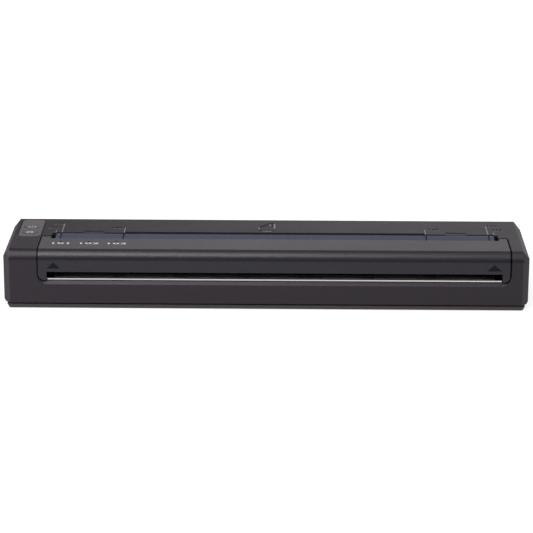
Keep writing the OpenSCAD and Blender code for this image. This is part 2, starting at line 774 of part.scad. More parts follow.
module release_cover() color(col_cover) {
    cover_ribs = 9;
    rib_x0 = slot_l + 8;
    rib_x1 = slot_r - 8;
    mark_z = slot_top_z + 1.6;
    difference() {
        union() {
            intersection() {
                case_skin();
                union() {
                    along_y(front_y, guide_y0) polygon(cover_outline());
                    for (x = [[cover_l, mech_x - notch_half], [mech_x + notch_half, cover_r]])
                        along_z(ceil_z - past, case_h) polygon(rounded([
                            [x[0], guide_y0 - 0.1, 0], [x[1], guide_y0 - 0.1, 0],
                            [x[1], cover_back_y, 0.6], [x[0], cover_back_y, 0.6]
                        ]));
                }
            }
            for (i = [0:cover_ribs - 1]) cover_rib(rib_x0 + i * (rib_x1 - rib_x0 - 1) / (cover_ribs - 1));
            // Stiffening rib along the inside of the top
            block(rib_x0, rib_x1, hinge_y - 7, hinge_y - 6, ceil_z - 1.2, ceil_z + 0.2);
        }
        lens_sites() translate([0, 0, ceil_z - past]) cylinder(r = lens_r + 0.05, h = wall + 2 * past);
        // Seat of the light board in the ribs
        led_board_block(0.2, ceil_z - 3, led_board_z + 0.1);
        for (x = [slot_l + mark_w / 2, slot_r - mark_w / 2 - 0.6])
            along_y(front_y - past, front_y + mark_deep) polygon([
                [x - mark_w / 2, mark_z], [x + mark_w / 2, mark_z], [x, mark_z + mark_h]
            ]);
    }
    cover_arm(mech_x - plate_out - arm_gap - arm_t);
    cover_arm(mech_x + plate_out + arm_gap);
}

module hinge_pins() color(col_steel) for (side = [-1, 1]) {
    x0 = mech_x + side * (plate_in - 0.3);
    x1 = mech_x + side * (plate_out + arm_gap + arm_t + 0.15);
    rod(min(x0, x1), max(x0, x1), [hinge_y, hinge_z], hinge_pin_r);
}

// Section of the guide strip: a top plate, a skirt about the hinge axis and a tongue under the cover
function guide_section() =
    let (
        c = [hinge_y, hinge_z],
        inner_r = skirt_r - guide_t + 0.1,
        low_z = guide_top - guide_t,
        inner_a = asin((low_z - hinge_z) / inner_r)
    )
    concat(
        [[guide_y0 + 0.05, low_z], [guide_y0 + 0.05, guide_top]],
        arc(c, skirt_r, skirt_a0, skirt_a1, 8),
        arc(c, inner_r, skirt_a1, inner_a, 6),
        [[guide_y0 + 2.4, low_z], [guide_y0 + 1.6, ceil_z - 1.2], [guide_y0 - 2.4, ceil_z - 1.2],
            [guide_y0 - 2.4, ceil_z - 0.05], [guide_y0 + 0.05, ceil_z - 0.05]]
    );

module paper_guide() color(col_guide) difference() {
    along_x(mech_x - guide_half, mech_x + guide_half) polygon(guide_section());
    for (side = [-1, 1]) for (x = [long_tick, mid_tick])
        block(
            mech_x + side * x - 0.25, mech_x + side * x + 0.25, guide_y0 - past, guide_y1 + past,
            guide_top - 0.45, case_h + past
        );
}

module led_lenses() color("whitesmoke") lens_sites() translate([0, 0, ceil_z - 0.3])
    cylinder(r = lens_r, h = wall + 0.3 - 0.1);

module led_board() color(col_board) {
    difference() {
        led_board_block(0, led_board_z - led_board_t, led_board_z);
        lens_sites() translate([0, 0, led_board_z - 0.3]) cylinder(r = lens_r + 0.1, h = 1);
    }
    lens_sites() translate([-0.6, -0.4, led_board_z - 0.4]) cube([1.2, 0.8, 0.7]);
}

module led_board_block(grow, z0, z1) {
    mid_x = cover_l + lens_from_end + lens_pitch;
    block(
        mid_x - led_board_l / 2 - grow, mid_x + led_board_l / 2 + grow,
        lens_y - led_board_d / 2 - grow, lens_y + led_board_d / 2 + grow, z0, z1
    );
}

// ---- Paper path ------------------------------------------------------------

module tear_bar() color(col_steel) {
    half = slot_half - 0.25;
    teeth = floor(2 * half / tear_pitch);
    x0 = mech_x - half;
    y0 = front_y + wall + 0.15;
    top = exit_z + 0.4;
    along_y(y0, y0 + tear_t) polygon(concat(
        [[x0, top - tear_h], [x0, top]],
        [for (i = [0:teeth - 1]) each [
            [x0 + (i + 0.5) * tear_pitch, top - tear_tooth], [x0 + (i + 1) * tear_pitch, top]
        ]],
        [[mech_x + half, top], [mech_x + half, top - tear_h]]
    ));
}

module exit_guide() color(col_case) {
    y0 = front_y + wall + 0.15 + tear_t + 0.1;
    y1 = roller_y - head_board_d / 2 - 1;
    half = slot_half - 0.3;
    cheek_t = 2.4;
    along_x(mech_x - half, mech_x + half) polygon([
        [y0, chassis_top + 1], [y0, exit_z], [y1, exit_z + 0.3],
        [y1, exit_z - 0.9], [y0 + 1.3, exit_z - 1.2], [y0 + 1.3, chassis_top + 1]
    ]);
    // Cheeks that close the slot's ends
    for (x = [mech_x - half, mech_x + half - cheek_t])
        block(x, x + cheek_t, y0, y1, lip_z - 1.2, slot_top_z + 0.5);
    // Long low pads that a sheet slides over
    for (i = [-3:3]) along_x(mech_x + (i * 0.275 - 0.108) * half, mech_x + (i * 0.275 + 0.108) * half) polygon([
        [y0 + 1.2, exit_z], [y0 + 2, exit_z + 0.35], [y1 - 0.4, exit_z + 0.5], [y1 - 0.4, exit_z]
    ]);
}

// Curved rear wall of the path, about the cover's hinge axis
module chute_guide() color(col_case) {
    c = [hinge_y, hinge_z];
    half = plate_in - 0.15;
    along_x(mech_x - half, mech_x + half) polygon(concat(
        arc(c, chute_r, chute_a0, chute_a1, 12),
        arc(c, chute_r + chute_t, chute_a1, chute_a0, 12)
    ));
    for (i = [0:chute_ribs - 1]) {
        x = mech_x - half + 4 + i * (2 * half - 8 - chute_rib_w) / (chute_ribs - 1);
        along_x(x, x + chute_rib_w) polygon(concat(
            arc(c, chute_r - 0.3, chute_a0 - 6, chute_a1, 8),
            arc(c, chute_r + 0.2, chute_a1, chute_a0 - 2, 8)
        ));
    }
    for (side = [-1, 1]) {
        x0 = mech_x + side * (half - 1);
        x1 = mech_x + side * (plate_out + 0.2);
        rod(min(x0, x1), max(x0, x1), chute_peg, chute_peg_r);
    }
}

// Light barrier that sees the sheet's edge, behind the chute
module paper_sensor() color(col_rubber) {
    translate([mech_x - roller_half * 0.56, sensor_y, hinge_z - 6.2]) difference() {
        cube([6, sensor_t, 4.4]);
        for (dx = [1.2, 3.6]) translate([dx, -0.2, 1.4]) cube([1.2, 0.5, 1.6]);
    }
}

// ---- Frame -----------------------------------------------------------------

module chassis_frame() color(col_steel) {
    half = plate_in - 0.1;
    y0 = front_y + wall + tear_t + 1.75;
    y1 = pivot_y + 4.4;
    difference() {
        union() {
            block(mech_x - half, mech_x + half, y0, y1, chassis_z, chassis_top);
            block(mech_x - half, mech_x + half, y0, y0 + chassis_t, chassis_z, lip_z - 1.4);
        }
        for (site = frame_screw_sites) translate([site[0], site[1], chassis_z - past])
            cylinder(r = screw_r + 0.15, h = chassis_t + 2 * past);
        // Lightening windows
        for (i = [-3:3]) let (x = mech_x + i * window_pitch) along_z(chassis_z - past, chassis_top + past)
            polygon(round_rect(x - 9, roller_y - 3.5, x + 9, roller_y + 7.5, 1.5));
    }
}

// Plate with every bore that it carries; the right one reaches back to the motor
module side_plate(x0, outline, bores) color(col_steel) along_x(x0, x0 + plate_t) difference() {
    polygon(outline);
    translate(roller_c) circle(bush_r + 0.02);
    translate([hinge_y, hinge_z]) circle(hinge_pin_r + 0.02);
    translate([pivot_y, pivot_z]) circle(pivot_r + 0.02);
    translate(chute_peg) circle(chute_peg_r + 0.05);
    for (b = bores) translate([b[0], b[1]]) circle(b[2]);
}

// Front and top of both plates, clear of what the cover swings through behind its hinge
plate_front = [
    [roller_y - 6.4, chassis_z, 1], [roller_y - 6.4, roller_z - 2, 2], [roller_y - 3, ceil_z - 0.4, 2],
    [hinge_y + 1, ceil_z - 0.4, 0.8], [hinge_y + 2.4, hinge_z + 0.4, 0.8]
];

module side_plate_left() side_plate(
    mech_x - plate_out,
    rounded(concat(plate_front, [
        [chute_peg[0] + 1.6, chute_peg[1] + 2.5, 1.5],
        [chute_peg[0] + 1.6, chassis_z, 1]
    ])),
    []
);

module side_plate_right() side_plate(
    mech_x + plate_in,
    rounded(concat(plate_front, [
        [chute_peg[0] + 2, chute_peg[1] + 2.5, 1.5],
        [motor_c[0] + 3, motor_c[1] + 9, 2], [motor_c[0] + 9.4, motor_c[1] + 5, 2],
        [motor_c[0] + 9.4, chassis_z, 1]
    ])),
    [
        [idler_c[0], idler_c[1], gear_pin_r + 0.02],
        [reduction_c[0], reduction_c[1], gear_pin_r + 0.02],
        [motor_c[0], motor_c[1], 3.1],
        [motor_c[0] - 5.5, motor_c[1] + 5.5, 0.8],
        [motor_c[0] + 5.5, motor_c[1] - 5.5, 0.8]
    ]
);

module cover_switch() color(col_rubber) {
    x1 = mech_x - plate_out - 0.1;
    block(x1 - 2.4, x1, pivot_y - 5, pivot_y + 1, hinge_z - 7, hinge_z - 3.4);
    block(x1 - 1.7, x1 - 0.7, pivot_y - 1.2, pivot_y, hinge_z - 3.6, hinge_z - 2.9);
}

// ---- Roller and gear train -------------------------------------------------

shaft_end = gear_x1 + 0.9;

module platen_shaft() color(col_steel) {
    rod(mech_x - plate_in + 0.6, mech_x + plate_in - 0.6, roller_c, shaft_r);
    difference() {
        rod(mech_x - plate_out - 1.7, shaft_end, roller_c, journal_r);
        // Flat that drives the gear
        block(gear_x0 - 0.2, shaft_end + past, roller_y - 5, roller_y + 5, roller_z + 1.4, roller_z + 5);
        // Grooves for the two clips
        for (x = [mech_x - plate_out - 1.3, shaft_end - 0.65]) clip_groove(x);
    }
}

module clip_groove(x) along_x(x, x + 0.4) translate(roller_c) difference() {
    circle(journal_r + 1);
    circle(journal_r - 0.4);
}

module platen_clips() color(col_steel) for (x = [mech_x - plate_out - 1.25, shaft_end - 0.6])
    along_x(x, x + 0.3) translate(roller_c) difference() {
        circle(journal_r + 0.9);
        circle(journal_r - 0.38);
        translate([-1, -5]) square([2, 5]);
    }

module platen_roller() color(col_rubber) along_x(mech_x - roller_half, mech_x + roller_half)
    translate(roller_c) difference() {
        circle(roller_r);
        circle(shaft_r + 0.01);
    }

module platen_bushes() color(col_gear) for (side = [-1, 1]) {
    inner = mech_x + side * (plate_in - 0.45);
    outer = mech_x + side * (plate_out + 0.25);
    mid = mech_x + side * (plate_in - 0.05);
    difference() {
        union() {
            rod(min(inner, outer), max(inner, outer), roller_c, bush_r);
            rod(min(inner, mid), max(inner, mid), roller_c, bush_r + 0.8);
        }
        rod(min(inner, outer) - past, max(inner, outer) + past, roller_c, journal_r + run_gap);
    }
}

// Involute of a circle, in degrees, at pressure angle a
function inv(a) = tan(a) * 180 / PI - a;

// Outline of a spur gear with teeth z, the first one centred on angle phase.
// Flanks are thinned for backlash and the tips are stubbed.
function gear_outline(z, phase) =
    let (
        pitch = gear_m * z / 2,
        base = pitch * cos(20),
        tip = pitch + 0.85 * gear_m,
        root = pitch - 1.15 * gear_m,
        backlash = 0.05,
        half = 90 / z - backlash / pitch * 180 / PI + inv(20),
        at = function (r) half - (r > base ? inv(acos(base / r)) : 0),
        levels = [root, max(root + 0.05, base), pitch, tip]
    )
    [for (i = [0:z - 1]) let (a = phase + i * 360 / z) each concat(
        [for (r = levels) r * [cos(a - at(r)), sin(a - at(r))]],
        [for (k = [3:-1:0]) levels[k] * [cos(a + at(levels[k])), sin(a + at(levels[k]))]]
    )];

// Phase of a gear b that meshes with gear a, whose first tooth is at phase_a
function mesh_phase(ca, za, phase_a, cb, zb) =
    let (t = atan2(cb[1] - ca[1], cb[0] - ca[0]))
    t + 180 - 360 / zb * ((phase_a - t) * za / 360 + 0.5);

platen_phase = 0;
idler_phase = mesh_phase(roller_c, platen_teeth, platen_phase, idler_c, idler_teeth);
small_phase = mesh_phase(idler_c, idler_teeth, idler_phase, reduction_c, reduction_small);
pinion_phase = mesh_phase(reduction_c, reduction_large, small_phase, motor_c, pinion_teeth);

module platen_gear() color(col_gear) along_x(gear_x0, gear_x1) translate(roller_c) difference() {
    polygon(gear_outline(platen_teeth, platen_phase));
    difference() {
        circle(journal_r + 0.02);
        translate([-3, 1.42]) square([6, 3]);
    }
}

module idler_gear() color(col_gear) along_x(gear_x0, gear_x1) translate(idler_c) difference() {
    polygon(gear_outline(idler_teeth, idler_phase));
    circle(gear_pin_r + run_gap);
    for (a = [0:60:300]) rotate(a) translate([3.1, 0]) circle(0.7);
}

module idler_pin() color(col_steel) {
    rod(mech_x + plate_in, gear_x1 + 0.25, idler_c, gear_pin_r);
    rod(plate_face_x + 0.05, gear_x0 - 0.1, idler_c, gear_pin_r + 0.6);
}

module reduction_gear() color(col_gear) difference() {
    union() {
        along_x(gear_x0, large_x0 + 0.1) translate(reduction_c)
            polygon(gear_outline(reduction_small, small_phase));
        along_x(large_x0, large_x1) translate(reduction_c)
            polygon(gear_outline(reduction_large, small_phase));
    }
    rod(gear_x0 - past, large_x1 + past, reduction_c, gear_pin_r + run_gap);
    for (a = [0:72:288]) along_x(large_x0 - 0.05, large_x1 + past) translate(reduction_c) rotate(a)
        translate([5, 0]) circle(1.3);
}

module reduction_pin() color(col_steel) {
    rod(mech_x + plate_in, large_x1 + 0.25, reduction_c, gear_pin_r);
    rod(plate_face_x + 0.05, gear_x0 - 0.1, reduction_c, gear_pin_r + 0.6);
}

module motor_housing() color(col_steel) {
    x1 = mech_x + plate_in - 0.05;
    difference() {
        union() {
            rod(x1 - motor_l, x1, motor_c, motor_r);
            rod(x1 - 0.1, x1 + plate_t + 0.4, motor_c, 3);
            rod(x1 - motor_l - 0.8, x1 - motor_l + 0.1, motor_c, 3);
        }
        rod(x1 - motor_l - 2, x1 + 3, motor_c, motor_shaft_r + run_gap);
    }
    for (side = [-1, 1]) rod(x1 - 0.5, x1 + plate_t + 0.6, motor_c + side * [-5.5, 5.5], 0.75);
}

module motor_shaft() color(col_steel)
    rod(mech_x + plate_in - motor_l - 0.3, large_x1 + 0.5, motor_c, motor_shaft_r);

module motor_pinion() color("goldenrod")
    along_x(large_x0 - 0.1, large_x1 + 0.1) translate(motor_c) difference() {
        polygon(gear_outline(pinion_teeth, pinion_phase));
        circle(motor_shaft_r + 0.01);
    }

// ---- Thermal head ----------------------------------------------------------

head_y0 = roller_y - head_board_d / 2;
head_y1 = roller_y + head_board_d / 2;

module head_heatsink() color("silver") along_x(mech_x - head_half, mech_x + head_half) difference() {
    polygon(rounded([
        [head_y0, sink_z, 0], [head_y0, head_z - 0.02, 0], [head_y1, head_z - 0.02, 0.3],
        [head_y1, head_z - 1.6, 1], [pivot_y + 1.9, pivot_z + 1.9, 1.6], [pivot_y + 1.9, pivot_z - 1.9, 1.8],
        [pivot_y - 1.9, pivot_z - 1.9, 1.8], [pivot_y - 1.9, pivot_z + 0.7, 0.5], [pivot_y - 3.6, sink_z, 0.5]
    ]));
    translate([pivot_y, pivot_z]) circle(pivot_r + run_gap);
    // Cooling grooves
    for (i = [0:3]) translate([head_y0 + 1.2 + i * 1.4, sink_z - 0.1]) square([0.7, 0.9]);
}

module head_board() color("ivory") {
    block(mech_x - head_half, mech_x + head_half, head_y0, head_y1, head_z, nip_z - 0.08);
    // Raised heating line
    along_x(mech_x - head_half + 2, mech_x + head_half - 2) polygon([
        [roller_y - 1.2, nip_z - 0.1], [roller_y - 0.4, nip_z],
        [roller_y + 0.4, nip_z], [roller_y + 1.2, nip_z - 0.1]
    ]);
}

// Low cover over the driver chips, in front of the heating line
module head_cover() color(col_rubber) along_x(mech_x - head_half + 1, mech_x + head_half - 1)
    polygon([
        [head_y0 + 0.1, nip_z - 0.06], [head_y0 + 0.1, nip_z + 0.2], [head_y0 + 2.2, nip_z + 0.35],
        [head_y0 + 2.8, nip_z - 0.06]
    ]);

module head_pivot() color(col_steel)
    rod(mech_x - plate_out + 0.05, mech_x + plate_out - 0.05, [pivot_y, pivot_z], pivot_r);

spring_sites = [for (i = [-1.5:1:1.5]) [mech_x + i * head_half * 0.5385, roller_y - 4.3]];

// Coil of wire as one swept tube with closed ends
module coil(r, wire, h, turns) {
    sides = 6;
    steps = 10 * turns;
    rings = [for (k = [0:steps]) let (a = 360 * turns * k / steps, z = wire + (h - 2 * wire) * k / steps)
        for (j = [0:sides - 1]) let (b = 360 * j / sides)
            [(r + wire * cos(b)) * cos(a), (r + wire * cos(b)) * sin(a), z + wire * sin(b)]];
    skin = [for (k = [0:steps - 1]) for (j = [0:sides - 1]) each let (
        a = k * sides + j,
        b = k * sides + (j + 1) % sides
    ) [[a, b, a + sides], [b, b + sides, a + sides]]];
    caps = [
        [for (j = [sides - 1:-1:0]) j],
        [for (j = [0:sides - 1]) steps * sides + j]
    ];
    polyhedron(rings, concat(skin, caps));
}

module head_springs() color(col_steel) for (site = spring_sites)
    translate([site[0], site[1], chassis_top + 0.02])
        coil(spring_r, spring_wire_r, sink_z - chassis_top - 0.04, spring_turns);

// Flat cable from the head down to its socket on the main board
cable_w = 16;
cable_x = mech_x + window_pitch - cable_w / 2;

module head_cable() color("gainsboro") {
    y = pivot_y - 4.6;
    along_x(cable_x, cable_x + cable_w) polygon([
        [y - 2.2, board_z + board_t + 1.3], [y - 2.2, board_z + board_t + 1.1],
        [y + 0.3, board_z + board_t + 1.1], [y + 0.3, sink_z - 1.6],
        [y + 0.1, sink_z - 1.6], [y + 0.1, board_z + board_t + 1.3]
    ]);
}

// ---- Electronics -----------------------------------------------------------

board_y0 = front_y + 5;
board_l = case_w - 2 * board_end_gap;
can_w = 12;
can_d = 8;
can_h = 1.7;
can_t = 0.2;

module main_board() color(col_board) difference() {
    block(-board_l / 2 + 1, board_l / 2 + 1, board_y0, board_y0 + board_d, board_z, board_z + board_t);
    for (x = [-board_l / 2 + 4, board_l / 2 - 2]) for (y = [board_y0 + 3, board_y0 + board_d - 3])
        translate([x, y, board_z - past]) cylinder(r = 1.1, h = board_t + 2 * past);
}

// Chips, coils, capacitors and connectors: [x as a share of the board, y, width, depth, height]
board_part_list = [
    [-0.449, 4, 9, 6, 1.8], [-0.367, 11, 7, 7, 0.9], [-0.296, 3, 5, 5, 1.8], [-0.255, 3, 5, 5, 1.8],
    [-0.2, 5, 10, 10, 1], [-0.061, 12, 8, 5, 1.2], [0.01, 3, 6, 4, 1.6], [0.061, 3, 6, 4, 1.6],
    [0.286, 4, 9, 7, 1.7], [0.357, 10, 6, 6, 1], [0.429, 4, 8, 9, 1.8]
];
// Gap between a part and the board, which is soldered in the real one
solder = 0.02;

module board_parts() color(col_rubber) translate([0, board_y0, board_z + board_t + solder]) {
    for (p = board_part_list) translate([p[0] * board_l, p[1], 0]) cube([p[2], p[3], p[4]]);
    // Socket of the head's cable
    translate([cable_x, 14, 0]) cube([cable_w, 2.6, 1]);
}

module shield_can() color(col_steel)
    translate([-0.133 * board_l, board_y0 + 3, board_z + board_t + solder]) difference() {
        cube([can_w, can_d, can_h]);
        translate([can_t, can_t, -past]) cube([can_w - 2 * can_t, can_d - 2 * can_t, can_h - can_t + past]);
    }

module radio_module() color(col_board) {
    translate([key_end_x + 6, front_y + 14, floor_z + 1.6]) {
        cube([11, 15, 0.8]);
        translate([1, 1, 0.7]) cube([9, 9, 1.5]);
        for (x = [1.5, 9.5]) for (y = [1.5, 13.5]) translate([x, y, -1.55]) cylinder(r = 1, h = 1.7);
    }
}

module dc_jack() color(col_rubber) {
    c = [key_end_x + dc_from_end, inlet_z];
    y1 = rear_y - 0.5;
    difference() {
        union() {
            along_y(y1 - 12, y1 - wall + 0.3) translate(c) square(9, center = true);
            along_y(y1 - wall, y1) translate(c) circle(dc_r + 0.75);
        }
        along_y(y1 - 10, y1 + past) translate(c) circle(dc_r);
    }
    along_y(y1 - 10.2, y1 - 1.5) translate(c) circle(0.8);
    block(c[0] - 2, c[0] + 2, y1 - 12, y1 - 9, floor_z + 0.05, inlet_z - 4.4);
}

module usb_port() color(col_steel) {
    c = [key_end_x + usb_from_end, inlet_z];
    y1 = rear_y - 0.6;
    x = usb_w / 2;
    z = usb_h / 2;
    shell = 0.4;
    along_y(y1 - 7.5, y1) translate(c) difference() {
        polygon(round_rect(-x - shell, -z - shell, x + shell, z + shell, 1));
        polygon(round_rect(-x, -z, x, z, 0.8));
    }
    // Contact tongue and rear wall
    block(c[0] - 3, c[0] + 3, y1 - 7.4, y1 - 1.5, c[1] - 0.35, c[1] + 0.35);
    block(c[0] - x - shell, c[0] + x + shell, y1 - 8.2, y1 - 7.4, c[1] - z - shell, c[1] + z + shell);
    // Foot that carries it from the pan
    block(c[0] - 2, c[0] + 2, y1 - 7, y1 - 4, floor_z + 0.05, c[1] - z - 0.3);
}

// ---- Battery ---------------------------------------------------------------

module battery_pack() color([0.16, 0.16, 0.17]) difference() {
    along_x(battery_l_x, battery_r_x)
        polygon(round_rect(battery_y0, battery_z, battery_y1, battery_z + battery_h, battery_r));
    // Seams between its cells, and the wells of its contacts
    for (x = [battery_l_x + battery_l / 3, battery_l_x + battery_l * 2 / 3])
        block(x, x + 0.5, battery_y1 - 0.3, rear_y, 0, case_h);
    for (i = [0:3]) block(
        battery_r_x - 0.4, battery_r_x + past,
        battery_y0 + 3 + i * contact_pitch, battery_y0 + 5 + i * contact_pitch,
        battery_z + 3, battery_z + 9
    );
}

module battery_contacts() color("gold") for (i = [0:3])
    along_y(battery_y0 + 3.4 + i * contact_pitch, battery_y0 + 4.6 + i * contact_pitch) polygon([
        [bay_r - 0.05, battery_z + 3.5], [bay_r - 0.25, battery_z + 3.5], [bay_r - 0.6, battery_z + 5.5],
        [bay_r - 0.6, battery_z + 6.5], [bay_r - 0.25, battery_z + 8.5], [bay_r - 0.05, battery_z + 8.5]
    ]);

module battery_cover() color(col_case) difference() {
    union() {
        along_x(door_l, door_r) polygon(concat(
            [[rear_y, door_axis_z], [rear_y, door_top_z], [rear_y - wall, door_top_z],
                [rear_y - wall, door_axis_z + 1.2]],
            arc([door_axis_y, door_axis_z], door_edge_r, 215, 360, 6)
        ));
        // Pads that press on the battery pack
        for (i = [0:4]) let (x = bay_l + 20 + i * battery_l * 0.19)
            block(x, x + 6, rear_y - wall - 0.3, rear_y - wall + 0.1, door_axis_z + 4, door_top_z - 4);
    }
    for (x = [[door_l - past, door_l + 3], [door_r - 3, door_r + past]])
        rod(x[0], x[1], [door_axis_y, door_axis_z], door_pin_r + run_gap);
    // Finger groove near the upper edge
    along_y(rear_y - 0.6, rear_y + past) translate([(door_l + door_r) / 2, 0])
        polygon(round_rect(-9, door_top_z - 3.4, 9, door_top_z - 1.4, 0.9));
}

module door_pins() color(col_steel) {
    out = door_gap + 2.3;
    in = 2.6;
    for (x = [[door_l - out, door_l + in], [door_r - in, door_r + out]])
        rod(x[0], x[1], [door_axis_y, door_axis_z], door_pin_r);
}

// ---- Keys ------------------------------------------------------------------

module key_outline(grow) oval(key_l + 2 * grow, key_w + 2 * grow);

// Oval with straight long sides
module oval(l, w) {
    square([l - w, w], center = true);
    for (side = [-1, 1]) translate([side * (l - w) / 2, 0]) circle(w / 2);
}

module button_panel() color(col_panel) along_z(panel_z + 0.02, panel_top) difference() {
    polygon(round_rect(panel_x0, panel_y0, panel_x1, panel_y1, panel_r - 0.1));
    for (y = [power_y, feed_y]) translate([key_x, y]) key_outline(key_gap);
}

// Key with a retaining flange under the frame and a stem over its switch
module key(y) color(col_panel) translate([key_x, y, 0]) {
    along_z(panel_z - 0.2, case_h) key_outline(0);
    along_z(panel_z - 0.6, panel_z - 0.1) intersection() {
        key_outline(0.8);
        square([panel_w - 2.4, key_w + 2], center = true);
    }
    along_z(switch_top + key_travel + 0.1, panel_z - 0.2) circle(1.2);
}

module power_button() key(power_y);
module feed_button() key(feed_y);

module button_board() color(col_board) block(
    panel_x0 - 0.6, panel_x1 + 0.4, panel_y0 + 0.8, panel_y1 - 0.8,
    key_board_z, key_board_z + board_t - 0.05
);

module key_switches() color(col_steel)
    for (y = [power_y, feed_y]) translate([key_x, y, key_board_z + board_t]) {
        translate([-2.4, -2.4, 0]) cube([4.8, 4.8, 1]);
        cylinder(r = 1.3, h = switch_top - key_board_z - board_t);
    }

// ---- Which node is drawn ---------------------------------------------------

bottom_case();
top_case();
release_cover();
paper_guide();
led_lenses();
led_board();
tear_bar();
exit_guide();
chute_guide();
paper_sensor();
chassis_frame();
side_plate_left();
side_plate_right();
hinge_pins();
cover_switch();
platen_roller();
platen_shaft();
platen_gear();
platen_bushes();
platen_clips();
idler_gear();
idler_pin();
reduction_gear();
reduction_pin();
motor_housing();
motor_shaft();
motor_pinion();
head_heatsink();
head_board();
head_cover();
head_pivot();
head_springs();
head_cable();
main_board();
board_parts();
shield_can();
radio_module();
battery_pack();
battery_contacts();
battery_cover();
door_pins();
button_panel();
power_button();
feed_button();
button_board();
key_switches();
dc_jack();
usb_port();
rubber_feet();
case_screws();
frame_screws();
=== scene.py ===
"""Finish, marks and studio for a portable thermal printer, built around its solid model."""

import json
import math

import bmesh
import bpy
from bpy.props import BoolProperty, FloatProperty, FloatVectorProperty, IntProperty, PointerProperty
from mathutils import Matrix, Vector

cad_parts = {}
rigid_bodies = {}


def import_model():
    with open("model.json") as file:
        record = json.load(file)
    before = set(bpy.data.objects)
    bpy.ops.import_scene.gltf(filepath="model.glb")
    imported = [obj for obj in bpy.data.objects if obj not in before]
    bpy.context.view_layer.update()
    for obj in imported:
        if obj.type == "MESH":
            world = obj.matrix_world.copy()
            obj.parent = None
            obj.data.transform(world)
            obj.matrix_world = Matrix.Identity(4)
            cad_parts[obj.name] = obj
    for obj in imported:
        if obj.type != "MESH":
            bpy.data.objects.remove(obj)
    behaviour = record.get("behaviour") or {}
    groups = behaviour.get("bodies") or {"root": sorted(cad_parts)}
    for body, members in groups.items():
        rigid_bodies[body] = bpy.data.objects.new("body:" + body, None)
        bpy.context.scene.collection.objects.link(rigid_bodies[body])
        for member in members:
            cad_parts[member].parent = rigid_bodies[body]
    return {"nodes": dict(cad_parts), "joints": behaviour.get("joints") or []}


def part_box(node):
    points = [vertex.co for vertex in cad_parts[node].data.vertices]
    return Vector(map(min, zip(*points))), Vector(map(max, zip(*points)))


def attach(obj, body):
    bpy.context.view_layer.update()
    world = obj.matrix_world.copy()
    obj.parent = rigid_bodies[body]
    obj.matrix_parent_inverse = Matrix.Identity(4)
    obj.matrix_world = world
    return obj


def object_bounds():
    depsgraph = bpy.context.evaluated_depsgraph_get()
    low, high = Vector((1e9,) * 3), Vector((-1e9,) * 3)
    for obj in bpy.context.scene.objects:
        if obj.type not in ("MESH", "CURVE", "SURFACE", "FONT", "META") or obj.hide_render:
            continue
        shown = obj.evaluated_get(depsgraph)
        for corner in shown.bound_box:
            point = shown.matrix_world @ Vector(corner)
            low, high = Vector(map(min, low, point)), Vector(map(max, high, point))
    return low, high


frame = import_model()

bl_info = {
    "name": "Portable Thermal Printer",
    "version": (1, 0, 0),
    "blender": (4, 5, 0),
    "location": "View3D > Sidebar > Printer",
    "description": "Materials, printed marks, small fittings and studio for a portable thermal printer",
    "category": "Object",
}

MM = 0.001
SUNK = 0.002 * MM  # how deep printed ink is set into the face below it
WELD = 1e-7  # distance below which two points are one, in metres
FONT_SIZE = 1.38  # font size that gives figures of height 1
NODES = frame["nodes"]
CASE_LOW, CASE_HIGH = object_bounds()


# ---- Places that the frame gives -------------------------------------------------------------

def middle(node):
    """Centre of a node's box."""
    low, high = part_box(node)
    return (low + high) / 2


def top_of(node):
    """Height of a node's highest point."""
    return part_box(node)[1].z


def joint_point(name):
    """Point on a joint's axis."""
    return Vector(next(j["pos_m"] for j in frame["joints"] if j["name"] == name))


FRONT_Y = CASE_LOW.y
BEVEL_BACK, BEVEL_DOWN = 2.5 * MM, 4.4 * MM  # long front bevel of the case and the cover
BEVEL_TURN = ((0.0, 0.0), (0.1, 0.22), (0.2, 0.44), (0.36, 0.565), (0.56, 0.65), (0.74, 0.78), (1.0, 1.0))
END_IN = 3.3 * MM  # width of the bevels at the two ends
COVER_SKIRT = 17.4 * MM  # height down to which the cover's ends show a straight line
SLOT_HALF = 107.6 * MM  # half of the exit slot's clear width
LONG_IN, SHORT_OUT = 2.475 * MM, 0.525 * MM  # two of the width marks, from the end of the guide strip
MIDDLE_SHARE, RECESS_SHARE = 0.691, 0.8304  # third mark and finger recess, as shares of the strip's half


# ---- Shader graphs ---------------------------------------------------------------------------

def add_node(tree, kind, settings, sockets):
    """Adds a node to a tree, sets it, and fills its sockets with values or links."""
    made = tree.nodes.new(kind)
    for key, value in settings.items():
        if key == "stops":
            set_stops(made.color_ramp, value)
        else:
            setattr(made, key, value)
    for key, value in sockets.items():
        source = getattr(value, "socket", value)
        if isinstance(source, bpy.types.NodeSocket):
            tree.links.new(source, made.inputs[key])
        else:
            made.inputs[key].default_value = value
    return made


def set_stops(ramp, stops):
    """Gives a colour ramp its (position, grey) stops."""
    while len(ramp.elements) < len(stops):
        ramp.elements.new(1.0)
    for element, (position, grey) in zip(ramp.elements, stops):
        element.position = position
        element.color = (grey, grey, grey, 1.0)


def math_operator(operation, swapped=False):
    """A Python operator that adds one Math node."""
    def apply(self, other):
        return self.maths(operation, *((other, self) if swapped else (self, other)))
    return apply


